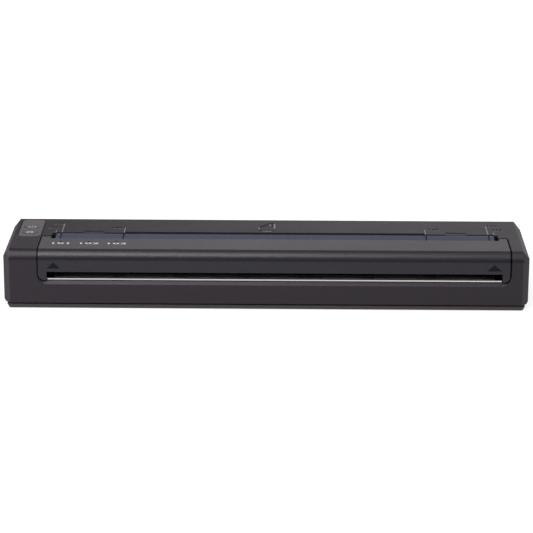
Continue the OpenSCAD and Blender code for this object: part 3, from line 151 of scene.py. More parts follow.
class Value:
    """An output socket that takes part in Python expressions as a number."""

    def __init__(self, graph, socket):
        self.graph, self.socket = graph, socket

    def maths(self, operation, first, second=0.0):
        """The result of one Math node."""
        return self.graph.node("ShaderNodeMath", {"operation": operation}, {0: first, 1: second})

    __add__ = __radd__ = math_operator("ADD")
    __sub__, __rsub__ = math_operator("SUBTRACT"), math_operator("SUBTRACT", swapped=True)
    __mul__ = __rmul__ = math_operator("MULTIPLY")
    __truediv__ = math_operator("DIVIDE")
    __gt__, __lt__ = math_operator("GREATER_THAN"), math_operator("LESS_THAN")

    def size(self):
        """The value without its sign."""
        return self.maths("ABSOLUTE", self)

    def clamped(self):
        """The value kept between 0 and 1."""
        return self.graph.node("ShaderNodeClamp", {}, {"Value": self})


class Graph:
    """A material's node tree, built from one call for each node."""

    def __init__(self, name):
        self.material = bpy.data.materials.new(name)
        self.material.use_nodes = True
        self.tree = self.material.node_tree
        self.tree.nodes.clear()
        self.place = self.node("ShaderNodeTexCoord", {}, {}, "Object")

    def node(self, kind, settings, sockets, output=0):
        """Adds a node and returns one of its outputs."""
        made = add_node(self.tree, kind, settings, sockets)
        return Value(self, made.outputs[output]) if made.outputs else None

    def noise(self, scale, detail=2.0, place=None, distortion=0.0):
        """Noise from 0 to 1, scale being waves per metre."""
        return self.node("ShaderNodeTexNoise", {}, {
            "Vector": place or self.place, "Scale": scale, "Detail": detail, "Distortion": distortion}, "Fac")

    def cells(self, scale):
        """Distance to the nearest of scattered points."""
        return self.node("ShaderNodeTexVoronoi", {}, {"Vector": self.place, "Scale": scale}, "Distance")

    def bands(self, scale, **sockets):
        """Stripes from 0 to 1 along X."""
        return self.node("ShaderNodeTexWave", {"wave_type": "BANDS", "bands_direction": "X"}, {
            "Vector": self.place, "Scale": scale, "Distortion": 0.0, **sockets}, "Fac")

    def stretched(self, x, y, z):
        """The place with each axis scaled."""
        return self.vectors("MULTIPLY", self.place, (x, y, z))

    def axis(self, name):
        """One coordinate of the place, in metres."""
        return self.node("ShaderNodeSeparateXYZ", {}, {0: self.place}, name)

    def ramp(self, value, stops):
        """A value through a grey ramp."""
        return self.node("ShaderNodeValToRGB", {"stops": stops}, {"Fac": value}, "Color")

    def between(self, share, first, second):
        """A colour mixed from two colours."""
        return self.node("ShaderNodeMix", {"data_type": "RGBA"}, {0: share, 6: first, 7: second}, 2)

    def clouded(self, share, tint, first, second):
        """A colour that drifts between two shades of itself."""
        return self.between(share, shade(tint, first), shade(tint, second))

    def soft_edges(self, radius):
        """Normals of edges rounded by a radius in metres."""
        return self.node("ShaderNodeBevel", {"samples": 6}, {"Radius": radius})

    def vectors(self, operation, first, second=(0.0, 0.0, 0.0), output=0):
        """The result of one Vector Math node."""
        return self.node("ShaderNodeVectorMath", {"operation": operation}, {0: first, 1: second}, output)

    def true_normal(self):
        """Normals of the faces as they are."""
        return self.node("ShaderNodeNewGeometry", {}, {}, "True Normal")

    def edge_share(self, rounded):
        """How much the rounded normals leave the true ones, 0 on flat faces."""
        return (1.0 - self.vectors("DOT_PRODUCT", rounded, self.true_normal(), "Value")).clamped()

    def near(self, name, place, half):
        """1 where a coordinate lies within half of a place, both in metres."""
        return (self.axis(name) - place).size() < half

    def within(self, name, low, high):
        """1 where a coordinate lies between two places."""
        return self.near(name, (low + high) / 2, (high - low) / 2)

    def turned_edge(self, rounded):
        """Normals that turn evenly from the top face to the front face over the case's long bevel."""
        run = (FRONT_Y + BEVEL_BACK - self.axis("Y")) + (CASE_HIGH.z - self.axis("Z"))
        share = (run / (BEVEL_BACK + BEVEL_DOWN)).clamped()
        angle = self.ramp(share, BEVEL_TURN) * (math.pi / 2)
        own = self.node("ShaderNodeCombineXYZ", {}, {
            "Y": 0.0 - angle.maths("SINE", angle), "Z": angle.maths("COSINE", angle),
        })
        own = self.node("ShaderNodeVectorTransform", {
            "vector_type": "NORMAL", "convert_from": "OBJECT", "convert_to": "WORLD"}, {0: own})
        lift = self.vectors("SUBTRACT", rounded, self.true_normal())
        both = self.vectors("NORMALIZE", self.vectors("ADD", own, lift))
        zone = self.within("Y", FRONT_Y - MM, FRONT_Y + BEVEL_BACK)
        zone = zone * (self.axis("Z") > CASE_HIGH.z - BEVEL_DOWN)
        zone = zone * self.within("X", CASE_LOW.x + END_IN, CASE_HIGH.x - END_IN)
        return self.node("ShaderNodeMix", {"data_type": "VECTOR"}, {0: zone, 4: rounded, 5: both}, 1)

    def bump(self, height, depth, strength=1.0, normal=None):
        """A normal from a height of 0 to 1, depth being its size in metres."""
        sockets = {"Height": height, "Distance": depth, "Strength": strength}
        if normal:
            sockets["Normal"] = normal
        return self.node("ShaderNodeBump", {}, sockets)

    def finish(self, shaded=None, **sockets):
        """Ends the tree in one Principled shader, dead black where shaded is 1, and returns the material."""
        sockets["Roughness"] = sockets["Roughness"].clamped()
        shader = self.node("ShaderNodeBsdfPrincipled", {}, {
            key.replace("_", " "): value for key, value in sockets.items()
        })
        if shaded:
            black = self.node("ShaderNodeBsdfDiffuse", {}, {"Color": (0.001, 0.001, 0.001, 1.0)})
            shader = self.node("ShaderNodeMixShader", {}, {0: shaded.clamped(), 1: shader, 2: black})
        self.node("ShaderNodeOutputMaterial", {}, {"Surface": shader})
        return self.material


def colour(values):
    """A stored colour with its alpha."""
    return (*values[:3], 1.0)


def shade(values, factor):
    """A colour made lighter or darker."""
    return (*(min(1.0, v * factor) for v in values[:3]), 1.0)


# ---- Finishes --------------------------------------------------------------------------------

def moulded(name, tint, rough, look, grain=1.0, gloss=0.5, edge=0.3, bevel=False, patches=(), shades=()):
    """Moulded plastic: spark-eroded grain, faint clouding, rubbed edges, patches of colour and of painted
    light, and painted shades.
    """
    g = Graph(name)
    rounded = g.soft_edges(edge * MM)
    worn = g.edge_share(rounded) * g.noise(240.0, 4.0) * (2.2 * look.edge_wear)
    clouds = g.noise(38.0, 3.0)
    pits = g.noise(1000.0 / look.grain_size, 2.0)
    speckle = g.noise(620.0 / look.grain_size, 1.0)
    base = g.clouded(clouds, tint, 0.93, 1.07)
    base = g.between(speckle * 0.35, base, shade(tint, 1.5))
    base = g.between(worn.clamped(), base, shade(tint, 2.6))
    for patch in patches:
        base = patch(g, base)
    shaded = sum((shade_mask(g) for shade_mask in shades[1:]), shades[0](g)) if shades else None
    smudges = g.noise(17.0, 5.0, distortion=0.6)
    roughness = rough + (clouds - 0.5) * 0.05 + (smudges - 0.5) * 0.06 + (pits - 0.5) * 0.12 - worn * 0.1
    return g.finish(
        shaded,
        Base_Color=base,
        Roughness=roughness,
        Specular_IOR_Level=gloss,
        Specular_Tint=(1.0, 0.925, 0.99, 1.0),
        Normal=g.bump(pits, look.grain_depth * grain * MM, 0.8, g.turned_edge(rounded) if bevel else rounded),
    )


def seam_shade(g):
    """Painted shade along the open line round the release cover, as far as its rounded edges turn in."""
    low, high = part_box("release_cover")
    inner_low, inner_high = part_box("paper_guide")
    sides = g.near("X", low.x - 0.15 * MM, 0.3 * MM) + g.near("X", high.x + 0.18 * MM, 0.42 * MM)
    sides = sides * (g.axis("Y") < high.y) * (g.axis("Z") > COVER_SKIRT)
    lands = g.within("Y", high.y - 0.1 * MM, high.y + 1.2 * MM) * g.within("X", low.x, high.x)
    lands = lands * (1.0 - g.within("X", inner_low.x, inner_high.x))
    return sides * 0.85 + lands * 0.9


def bevel_foot(g):
    """Soft shade on the front face, just under the long bevel."""
    foot = CASE_HIGH.z - BEVEL_DOWN + 0.1 * MM
    band = (1.0 - (g.axis("Z") - foot).size() / (1.0 * MM)).clamped()
    return band * (g.axis("Y") < FRONT_Y + 0.5 * MM) * 0.42


def far_shade(start, reach, share):
    """A shade on the top face that grows evenly from a place along X to the left."""
    def mask(g):
        return ((start - g.axis("X")) / reach).clamped() * (g.axis("Z") > CASE_HIGH.z - 0.5 * MM) * share
    return mask


def film_edge_shade(g):
    """Painted shade in lines where the key film's long edges meet the case."""
    low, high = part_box("button_panel")
    sides = g.near("X", low.x - 0.25 * MM, 0.25 * MM) + g.near("X", high.x + 0.25 * MM, 0.25 * MM)
    return sides * g.within("Y", low.y + 0.6 * MM, high.y - 0.6 * MM) * 0.45


def recess_floor_light(tint):
    """Painted light: the floors of the two shallow finger recesses made lighter."""
    def patch(g, base):
        low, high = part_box("paper_guide")
        out = (g.axis("X") - (low.x + high.x) / 2).size()
        inside = (out - RECESS_SHARE * (high.x - low.x) / 2).size() < 5.0 * MM
        inside = inside * g.within("Y", high.y + 0.7 * MM, high.y + 3.2 * MM)
        inside = inside * (g.axis("Z") < CASE_HIGH.z - 0.1 * MM)
        return g.between(inside * 0.9, base, shade(tint, 2.2))
    return patch


def key_shade(g):
    """Soft shade in front of each key, where the film dips towards it."""
    shaded = 0.0
    for key in ("power_button", "feed_button"):
        at = middle(key)
        across = (g.axis("X") - at.x) / (3.9 * MM)
        along = (g.axis("Y") - at.y) / (2.9 * MM)
        ring = (1.0 - ((across * across + along * along) - 1.0).size() * 2.0).clamped()
        shaded = ring * (g.axis("Y") < at.y - 0.8 * MM) * 0.5 + shaded
    return shaded


def slot_ends(g):
    """Cheeks at the ends of the exit slot, in deep shade."""
    return (g.axis("X") - middle("exit_guide").x).size() > SLOT_HALF


def strip_tone_and_highlight(g, base):
    """A paler strip beyond the outer width grooves, and a painted highlight along the rear rim at both ends."""
    low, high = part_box("paper_guide")
    out, half = (g.axis("X") - (low.x + high.x) / 2).size(), (high.x - low.x) / 2
    rim_highlight = (g.axis("Y") > 0.5 * MM) * (g.axis("Z") > high.z - 0.8 * MM)
    rim_highlight = rim_highlight * ((out - 0.66 * half) / (0.3 * half)).clamped()
    base = g.between(rim_highlight * 0.8, base, (0.09, 0.09, 0.10, 1.0))
    return g.between((out > half - 2.2 * MM) * 0.25, base, (0.05, 0.055, 0.075, 1.0))


def strip_groove_shade(g):
    """Painted shade in the width grooves across the guide strip."""
    low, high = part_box("paper_guide")
    out, half = (g.axis("X") - (low.x + high.x) / 2).size(), (high.x - low.x) / 2
    long, inner = ((out - place).size() < 0.36 * MM for place in (half - LONG_IN, MIDDLE_SHARE * half))
    return (long + inner) * 0.55


def bar_edge_shade(g):
    """Painted shade on the tear bar: its foot in the shade of the slot, and a band along its top where the edge
    turns away.
    """
    high = top_of("tear_bar")
    return ((g.axis("Z") > high - 0.3 * MM) + (g.axis("Z") < high - 0.95 * MM)) * 0.95


def pressed_steel(name, tint, look, rough=0.3, lines=(14.0, 2400.0, 2400.0), edge=0.12, shades=()):
    """Sheet or turned steel: rolling or turning lines, plating clouds and bright edges."""
    g = Graph(name)
    rounded = g.soft_edges(edge * MM)
    streaks = g.noise(1.0, 3.0, g.stretched(*lines))
    clouds = g.noise(95.0, 4.0)
    spangle = g.cells(260.0)
    base = g.clouded(clouds, tint, 0.82, 1.06)
    base = g.between(spangle * 0.3, base, shade(tint, 0.9))
    base = g.between(g.edge_share(rounded), base, shade(tint, 1.25))
    return g.finish(
        shades[0](g) if shades else None,
        Base_Color=base,
        Metallic=1.0,
        Roughness=rough + (streaks - 0.5) * 0.16 + (clouds - 0.5) * 0.12,
        Normal=g.bump(streaks, look.line_depth * MM, 0.5, rounded),
    )


def ground_rubber(name, tint, rough, lines):
    """Rubber: fine grinding marks and a dusty bloom."""
    g = Graph(name)
    rounded = g.soft_edges(0.25 * MM)
    marks = g.noise(1.0, 2.0, g.stretched(*lines))
    bloom = g.noise(120.0, 5.0)
    return g.finish(
        Base_Color=g.clouded(bloom, tint, 0.8, 1.45),
        Roughness=rough + (bloom - 0.5) * 0.2 + (marks - 0.5) * 0.1,
        Specular_IOR_Level=0.35,
        Normal=g.bump(marks, 0.02 * MM, 0.6, rounded),
    )


def mask_board(name, tint):
    """Circuit board: solder mask over copper tracks, pads and a woven glass core."""
    g = Graph(name)
    weave = g.bands(420.0, Distortion=0.4, Detail=1.0)
    tracks = g.node("ShaderNodeTexBrick", {"offset": 0.5, "squash": 0.7, "squash_frequency": 3}, {
        "Vector": g.place, "Color1": (0, 0, 0, 1), "Color2": (0.4, 0.4, 0.4, 1), "Mortar": (1, 1, 1, 1),
        "Scale": 1.0, "Mortar Size": 0.00022, "Brick Width": 0.0064, "Row Height": 0.0012,
    }, "Color")
    pads = g.cells(230.0) < 0.12
    clouds = g.noise(60.0, 3.0)
    base = g.clouded(clouds, tint, 0.85, 1.15)
    base = g.between(tracks * 0.55, base, shade(tint, 2.1))
    base = g.between(pads, base, (0.62, 0.6, 0.55, 1.0))
    return g.finish(
        Base_Color=base,
        Metallic=pads * 0.8,
        Roughness=0.3 + (clouds - 0.5) * 0.15 + pads * 0.12,
        Coat_Weight=(1.0 - pads) * 0.4,
        Normal=g.bump(tracks + weave * 0.15, 0.03 * MM, 0.6, g.soft_edges(0.08 * MM)),
    )


def glazed_head(name, tint):
    """Ceramic head: cream glaze, a brown heating line, fine gold leads and black resin along its front."""
    g = Graph(name)
    ahead = g.axis("Y") - joint_point("platen_spin").y
    line = ahead.size()
    heater = line < 0.22 * MM
    leads = (g.bands(1900.0) > 0.55) * (line < 3.3 * MM) * (1.0 - heater)
    clouds = g.noise(90.0, 3.0)
    base = g.clouded(clouds, tint, 0.93, 1.03)
    base = g.between(leads * 0.7, base, (0.66, 0.5, 0.24, 1.0))
    base = g.between(heater, base, (0.11, 0.06, 0.04, 1.0))
    base = g.between(ahead < -3.4 * MM, base, (0.012, 0.011, 0.012, 1.0))
    return g.finish(
        Base_Color=base,
        Metallic=leads * 0.8,
        Roughness=0.16 + clouds * 0.1 + leads * 0.12,
        Normal=g.bump(leads, 0.01 * MM, 0.5, g.soft_edges(0.15 * MM)),
    )


def gear_nylon(name, tint):
    """Natural moulded gear plastic: waxy, slightly clouded, greased at the teeth."""
    g = Graph(name)
    rounded = g.soft_edges(0.08 * MM)
    clouds = g.noise(180.0, 4.0)
    grease = g.ramp(g.noise(420.0, 3.0, distortion=1.2), ((0.5, 0.0), (0.62, 1.0)))
    base = g.clouded(clouds, tint, 0.88, 1.04)
    base = g.between(grease * 0.25, base, shade(tint, 0.66))
    return g.finish(
        Base_Color=base,
        Roughness=0.42 - grease * 0.22 + clouds * 0.1,
        Subsurface_Weight=0.1,
        Subsurface_Scale=0.001,
        Normal=g.bump(clouds, 0.02 * MM, 0.4, rounded),
    )


def smoked_lens(name, tint):
    """Unlit light window: dark, glossy and faintly scratched."""
    g = Graph(name)
    scratches = g.noise(1.0, 2.0, g.stretched(300.0, 5200.0, 300.0))
    clouds = g.noise(900.0, 2.0)
    return g.finish(
        Base_Color=g.clouded(clouds, tint, 0.8, 1.3),
        Roughness=0.5 + scratches * 0.1,
        Specular_IOR_Level=0.1,
        Normal=g.bump(scratches, 0.01 * MM, 0.3),
    )


def printed_ink(name, tint, glow=0.0, gloss=0.5):
    """Pad-printed ink: slightly uneven cover over the grain below, and a glow where asked, which is painted
    light.
    """
    g = Graph(name)
    cover = g.noise(1800.0, 3.0)
    thin = g.ramp(g.noise(3200.0, 2.0), ((0.3, 0.6), (0.5, 1.0)))
    return g.finish(
        Base_Color=g.clouded(cover * thin, tint, 0.72, 1.0),
        Roughness=0.5 + cover * 0.15,
        Specular_IOR_Level=gloss,
        Emission_Color=colour(tint),
        Emission_Strength=glow,
        Normal=g.bump(cover, 0.01 * MM, 0.4),
    )


def film_cable(name, tint):
    """Flat cable film: pale, with the shine of its copper showing through."""
    g = Graph(name)
    lines = g.bands(320.0)
    haze = g.noise(400.0, 2.0)
    return g.finish(
        Base_Color=g.clouded(lines * 0.6, tint, 1.0, 0.62),
        Roughness=0.28 + haze * 0.14,
        Coat_Weight=0.3 + haze * 0.1,
        Normal=g.bump(lines, 0.03 * MM, 0.5),
    )


# ---- Settings --------------------------------------------------------------------------------

def tint_property(name, values, description):
    """A colour setting."""
    return FloatVectorProperty(
        name=name, description=description, default=values, size=3, min=0.0, max=1.0, subtype="COLOR")


def length_property(name, default, description):
    """A length setting."""
    return FloatProperty(
        name=name, description=description, default=default, min=0.0, unit="LENGTH", precision=6)


class PrinterFinish(bpy.types.PropertyGroup):
    """Colours and grain of the plastics and metals."""

    case: tint_property("Case", (0.0218, 0.0188, 0.0234), "Plastic of the top case and the battery cover")
    pan: tint_property("Pan", (0.056, 0.050, 0.057), "Plastic of the bottom case")
    cover: tint_property("Cover", (0.0176, 0.0180, 0.0232), "Plastic of the release cover")
    guide: tint_property("Guide", (0.0172, 0.0245, 0.064), "Plastic of the guide strip")
    keys: tint_property("Keys", (0.067, 0.060, 0.067), "Plastic of the key frame and the keys")
    inner: tint_property("Inner", (0.045, 0.041, 0.045), "Plastic inside the slot")
    grain_size: FloatProperty(
        name="Grain size", description="Width of one grain of the moulded texture, in millimetres",
        default=0.8, min=0.1, max=2.0)
    grain_depth: FloatProperty(
        name="Grain depth", description="Depth of the moulded texture, in millimetres",
        default=0.1, min=0.0, max=0.3)
    edge_wear: FloatProperty(
        name="Edge wear", description="How much handling has lightened the edges",
        default=0.5, min=0.0, max=1.0, subtype="FACTOR")
    line_depth: FloatProperty(
        name="Line depth", description="Depth of rolling and turning lines in metal, in millimetres",
        default=0.012, min=0.0, max=0.1)


class PrinterMarks(bpy.types.PropertyGroup):
    """Sizes of the printed and engraved marks."""

    ink_height: length_property("Ink thickness", 0.008 * MM, "Thickness of printed ink")
    light_digit: length_property("Light digit", 2.3 * MM, "Height of the numbers by the lights")
    width_digit: length_property("Width digit", 2.6 * MM, "Height of the sheet widths on the rear top")
    key_sign: length_property("Key sign", 3.6 * MM, "Width of the signs on the keys")
    film_front: length_property("Film in front", 2.2 * MM, "Reach of the key film before the key frame")
    film_rear: length_property("Film behind", 2.3 * MM, "Reach of the key film behind the key frame")
    stroke: length_property("Stroke", 0.56 * MM, "Width of a sign's stroke")


class PrinterFittings(bpy.types.PropertyGroup):
    """Counts of the small repeated fittings."""

    cable_cores: IntProperty(
        name="Cable cores", description="Copper lines in the flat cable", default=18, min=2)
    grip_ridges: IntProperty(
        name="Grip ridges", description="Ridges in the battery cover's finger groove", default=11, min=2)


class PrinterStudio(bpy.types.PropertyGroup):
    """Camera and floor."""

    eye: FloatVectorProperty(
        name="Eye", description="Place of the camera", default=(0.008866, -1.08674, 0.357654),
        size=3, subtype="TRANSLATION", unit="LENGTH")
    yaw: FloatProperty(
        name="Yaw", description="Turn to the left", default=math.radians(-0.468), subtype="ANGLE")
    pitch: FloatProperty(
        name="Pitch", description="Tilt down", default=math.radians(17.555), subtype="ANGLE")
    roll: FloatProperty(
        name="Roll", description="Roll about the view line", default=math.radians(0.207), subtype="ANGLE")
    lens: FloatProperty(
        name="Lens", description="Focal length on a 36 mm sensor, in millimetres", default=154.62, min=10.0)
    show_floor: BoolProperty(name="Floor", description="Lay the pale floor under the printer", default=True)


# ---- Making meshes ---------------------------------------------------------------------------

def add_object(name, data):
    """Links a new object."""
    made = bpy.data.objects.new(name, data)
    bpy.context.scene.collection.objects.link(made)
    return made


def add_piece(name, shape, body, material):
    """Links a mesh or a bmesh as a piece that rides on a body."""
    mesh = shape if isinstance(shape, bpy.types.Mesh) else mesh_of(name, shape)
    piece = add_object(name, mesh)
    if not mesh.materials:
        mesh.materials.append(material)
    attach(piece, body)


def prism(build, outline, low, high, to_world=None):
    """Adds a closed prism over a flat outline to a bmesh, between two heights."""
    turn = to_world or Matrix.Identity(4)
    rings = [[build.verts.new(turn @ Vector((x, y, z))) for x, y in outline] for z in (low, high)]
    count = len(outline)
    build.faces.new(rings[0][::-1])
    build.faces.new(rings[1])
    for i in range(count):
        build.faces.new((rings[0][i], rings[0][(i + 1) % count], rings[1][(i + 1) % count], rings[1][i]))


def mesh_of(name, build):
    """A mesh with outward faces from a bmesh."""
    bmesh.ops.recalc_face_normals(build, faces=build.faces)
    mesh = bpy.data.meshes.new(name)
    build.to_mesh(mesh)
    build.free()
    return mesh


def mesh_from_curve(curve, matrix):
    """A plain mesh of a flat curve or a text, put in its place."""
    holder = add_object(curve.name, curve)
    mesh = bpy.data.meshes.new_from_object(holder)
    mesh.transform(matrix)
    bpy.data.objects.remove(holder)
    return mesh


def bar(centre, size):
    """Outline of a rectangle."""
    (x, y), (w, d) = centre, size
    return [(x + i * w / 2, y + j * d / 2) for i, j in ((-1, -1), (1, -1), (1, 1), (-1, 1))]


def round_rect(x0, y0, x1, y1, radius, steps=6):
    """Outline of a rectangle with round corners."""
    corners = ((x1 - radius, y1 - radius, 0), (x0 + radius, y1 - radius, 90),
               (x0 + radius, y0 + radius, 180), (x1 - radius, y0 + radius, 270))
    return [
        (x + radius * math.cos(math.radians(start + 90 * i / steps)),
         y + radius * math.sin(math.radians(start + 90 * i / steps)))
        for x, y, start in corners for i in range(steps + 1)
    ]


def ring_arc(centre, radius, stroke, start, end, steps=20):
    """Outline of a curved stroke, angles in degrees."""
    def point(r, i):
        angle = math.radians(start + (end - start) * i / steps)
        return (centre[0] + r * math.cos(angle), centre[1] + r * math.sin(angle))
    outer = [point(radius + stroke / 2, i) for i in range(steps + 1)]
    inner = [point(radius - stroke / 2, i) for i in range(steps, -1, -1)]
    return outer + inner


def flat_numbers(entries, thickness, stretch, weight=0.03):
    """One mesh of flat numbers from (text, x, y, z, height) entries, centred and stretched along X."""
    build = bmesh.new()
    for text, x, y, z, height in entries:
        curve = bpy.data.curves.new("number", "FONT")
        curve.body = text
        curve.align_x, curve.align_y = "CENTER", "CENTER"
        curve.size = height * FONT_SIZE
        curve.space_character = 1.08
        curve.extrude = thickness / 2
        curve.offset = weight * height
        curve.resolution_u = 4
        place = Matrix.Translation((x, y, z + thickness / 2)) @ Matrix.Diagonal((stretch, 1, 1, 1))
        build.from_mesh(mesh_from_curve(curve, place))
    bmesh.ops.remove_doubles(build, verts=build.verts, dist=WELD)
    return mesh_of("numbers", build)


# ---- Geometry Nodes --------------------------------------------------------------------------

class Scatter:
    """A geometry tree that repeats one small block, with named inputs."""

    def __init__(self, name, inputs):
        self.tree = bpy.data.node_groups.new(name, "GeometryNodeTree")
        face = self.tree.interface
        face.new_socket(name="Geometry", in_out="OUTPUT", socket_type="NodeSocketGeometry")
        self.ids = {}
        for key, kind in inputs.items():
            self.ids[key] = face.new_socket(name=key, in_out="INPUT", socket_type=kind).identifier
        self.entry = self.tree.nodes.new("NodeGroupInput")

    def given(self, key):
        """The socket of a named input."""
        return self.entry.outputs[key]

    def node(self, kind, settings, sockets, output=0):
        """Adds a node and returns one of its outputs."""
        return add_node(self.tree, kind, settings, sockets).outputs[output]

    def close(self, instances):
        """Ends the tree in Realize Instances and Set Material."""
        real = self.node("GeometryNodeRealizeInstances", {}, {"Geometry": instances})
        done = self.node("GeometryNodeSetMaterial", {}, {"Geometry": real, "Material": self.given("Finish")})
        add_node(self.tree, "NodeGroupOutput", {}, {0: done})

    def mesh(self, name, **values):
        """The tree's result as a plain mesh."""
        holder = add_object(name, bpy.data.meshes.new(name))
        modifier = holder.modifiers.new(name, "NODES")
        modifier.node_group = self.tree
        for key, value in values.items():
            modifier[self.ids[key]] = value
        graph = bpy.context.evaluated_depsgraph_get()
        mesh = bpy.data.meshes.new_from_object(holder.evaluated_get(graph), depsgraph=graph)
        holder.modifiers.remove(modifier)
        bpy.data.objects.remove(holder)
        return mesh


def row_tree():
    """Blocks of one size in a straight row."""
    scatter = Scatter("block_row", {
        "Start": "NodeSocketVector", "Step": "NodeSocketVector", "Size": "NodeSocketVector",
        "Count": "NodeSocketInt", "Finish": "NodeSocketMaterial",
    })
    line = scatter.node("GeometryNodeMeshLine", {"mode": "OFFSET"}, {
        "Count": scatter.given("Count"), "Start Location": scatter.given("Start"),
        "Offset": scatter.given("Step"),
    })
    block = scatter.node("GeometryNodeMeshCube", {}, {"Size": scatter.given("Size")})
    row = scatter.node("GeometryNodeInstanceOnPoints", {}, {"Points": line, "Instance": block})
    scatter.close(row)
    return scatter


def path_tree():
    """A strip swept along a path that is copied side by side along X."""
    scatter = Scatter("strip_along_path", {
        "Path": "NodeSocketObject", "Step": "NodeSocketFloat", "Width": "NodeSocketFloat",
        "Thickness": "NodeSocketFloat", "Count": "NodeSocketInt", "Finish": "NodeSocketMaterial",
    })
    path = scatter.node("GeometryNodeObjectInfo", {}, {"Object": scatter.given("Path")}, "Geometry")
    profile = scatter.node("GeometryNodeCurvePrimitiveQuadrilateral", {}, {
        "Width": scatter.given("Thickness"), "Height": scatter.given("Width"),
    })
    strip = scatter.node("GeometryNodeCurveToMesh", {}, {
        "Curve": path, "Profile Curve": profile, "Fill Caps": True})
    offset = scatter.node("ShaderNodeCombineXYZ", {}, {"X": scatter.given("Step")})
    line = scatter.node("GeometryNodeMeshLine", {"mode": "OFFSET"}, {
        "Count": scatter.given("Count"), "Offset": offset})
    copies = scatter.node("GeometryNodeInstanceOnPoints", {}, {"Points": line, "Instance": strip})
    scatter.close(copies)
    return scatter


# ---- Operators -------------------------------------------------------------------------------

def paint(material, *names):
    """Gives CAD nodes one material."""
    for name in names:
        slots = NODES[name].data.materials
        slots.clear()
        slots.append(material)


class PRINTER_OT_finish_case(bpy.types.Operator):
    """Give the case, the keys and the feet their plastics and rubbers"""

    bl_idname = "printer.finish_case"
    bl_label = "Finish Case"

    def execute(self, context):
        look = context.scene.printer_finish
        case_shades = (seam_shade, bevel_foot, film_edge_shade, far_shade(start=80 * MM, reach=200 * MM, share=0.33))
        paint(
            moulded("moulded_case", look.case, 0.47, look, gloss=0.42, bevel=True,
                    patches=(recess_floor_light(look.case),), shades=case_shades),
            "top_case")
        paint(moulded("moulded_door", look.case, 0.47, look, gloss=0.42), "battery_cover")
        paint(moulded("moulded_pan", look.pan, 0.45, look, gloss=0.5), "bottom_case")
        paint(
            moulded("moulded_keys", look.keys, 0.42, look, grain=0.5, gloss=0.4, shades=(key_shade,)),
            "button_panel", "power_button", "feed_button")
        paint(ground_rubber("foot_rubber", (0.02, 0.02, 0.02), 0.8, (900.0, 900.0, 900.0)), "rubber_feet")
        paint(pressed_steel("screw_steel", (0.5, 0.5, 0.51), look, 0.34), "case_screws", "frame_screws")
        return {"FINISHED"}


class PRINTER_OT_finish_cover(bpy.types.Operator):
    """Give the release cover, its guide strip and its lights their finishes"""

    bl_idname = "printer.finish_cover"
    bl_label = "Finish Release Cover"

    def execute(self, context):
        look = context.scene.printer_finish
        paint(
            moulded("moulded_cover", look.cover, 0.38, look, gloss=0.5, bevel=True,
                    shades=(seam_shade, bevel_foot, far_shade(start=-10 * MM, reach=100 * MM, share=0.13))),
            "release_cover")
        paint(
            moulded("moulded_guide", look.guide, 0.45, look, gloss=0.25, edge=0.5, patches=(strip_tone_and_highlight,),
                    shades=(strip_groove_shade,)),
            "paper_guide")
        paint(smoked_lens("smoked_lens", (0.003, 0.003, 0.004)), "led_lenses")
        return {"FINISHED"}


class PRINTER_OT_finish_mechanism(bpy.types.Operator):
    """Give the frame, the roller, the gears and the head their finishes"""

    bl_idname = "printer.finish_mechanism"
    bl_label = "Finish Mechanism"

    def execute(self, context):
        look = context.scene.printer_finish
        # The exit guide's grey is far lighter than its dark plastic: painted light on the floor seen in the
        # slot; its ends get painted shade.
        paint(moulded("moulded_exit", (0.25, 0.24, 0.25), 0.5, look, shades=(slot_ends,)), "exit_guide")
        paint(moulded("moulded_inner", look.inner, 0.5, look, gloss=0.4), "chute_guide")
        paint(
            moulded("moulded_sensor", (0.012, 0.012, 0.013), 0.5, look),
            "paper_sensor", "cover_switch", "head_cover")
        along_x, across = (14.0, 2400.0, 2400.0), (2400.0, 14.0, 2400.0)
        for name, tint, rough, lines, nodes in (
            ("zinc_sheet", (0.56, 0.56, 0.55), 0.34, along_x, ("chassis_frame",)),
            ("zinc_plate", (0.56, 0.56, 0.55), 0.34, across, (
                "side_plate_left", "side_plate_right", "motor_housing")),
            ("turned_steel", (0.62, 0.62, 0.61), 0.22, (4200.0, 40.0, 40.0), (
                "platen_shaft", "hinge_pins", "head_pivot", "idler_pin", "reduction_pin", "motor_shaft",
                "platen_clips", "head_springs", "door_pins")),
            ("pinion_brass", (0.72, 0.52, 0.24), 0.24, (40.0, 3000.0, 3000.0), ("motor_pinion",)),
            ("extruded_sink", (0.74, 0.75, 0.76), 0.32, (8.0, 2200.0, 2200.0), ("head_heatsink",)),
        ):
            paint(pressed_steel(name, tint, look, rough, lines), *nodes)
        paint(
            pressed_steel(
                "tear_steel", (0.93, 0.97, 0.93), look, 0.3, (9.0, 3200.0, 3200.0), 0.1, (bar_edge_shade,)),
            "tear_bar")
        paint(
            ground_rubber("platen_rubber", (0.016, 0.016, 0.017), 0.55, (2600.0, 300.0, 300.0)),
            "platen_roller")
        paint(
            gear_nylon("gear_nylon", (0.62, 0.61, 0.55)),
            "platen_gear", "idler_gear", "reduction_gear", "platen_bushes")
        paint(glazed_head("glazed_head", (0.62, 0.6, 0.5)), "head_board")
        return {"FINISHED"}


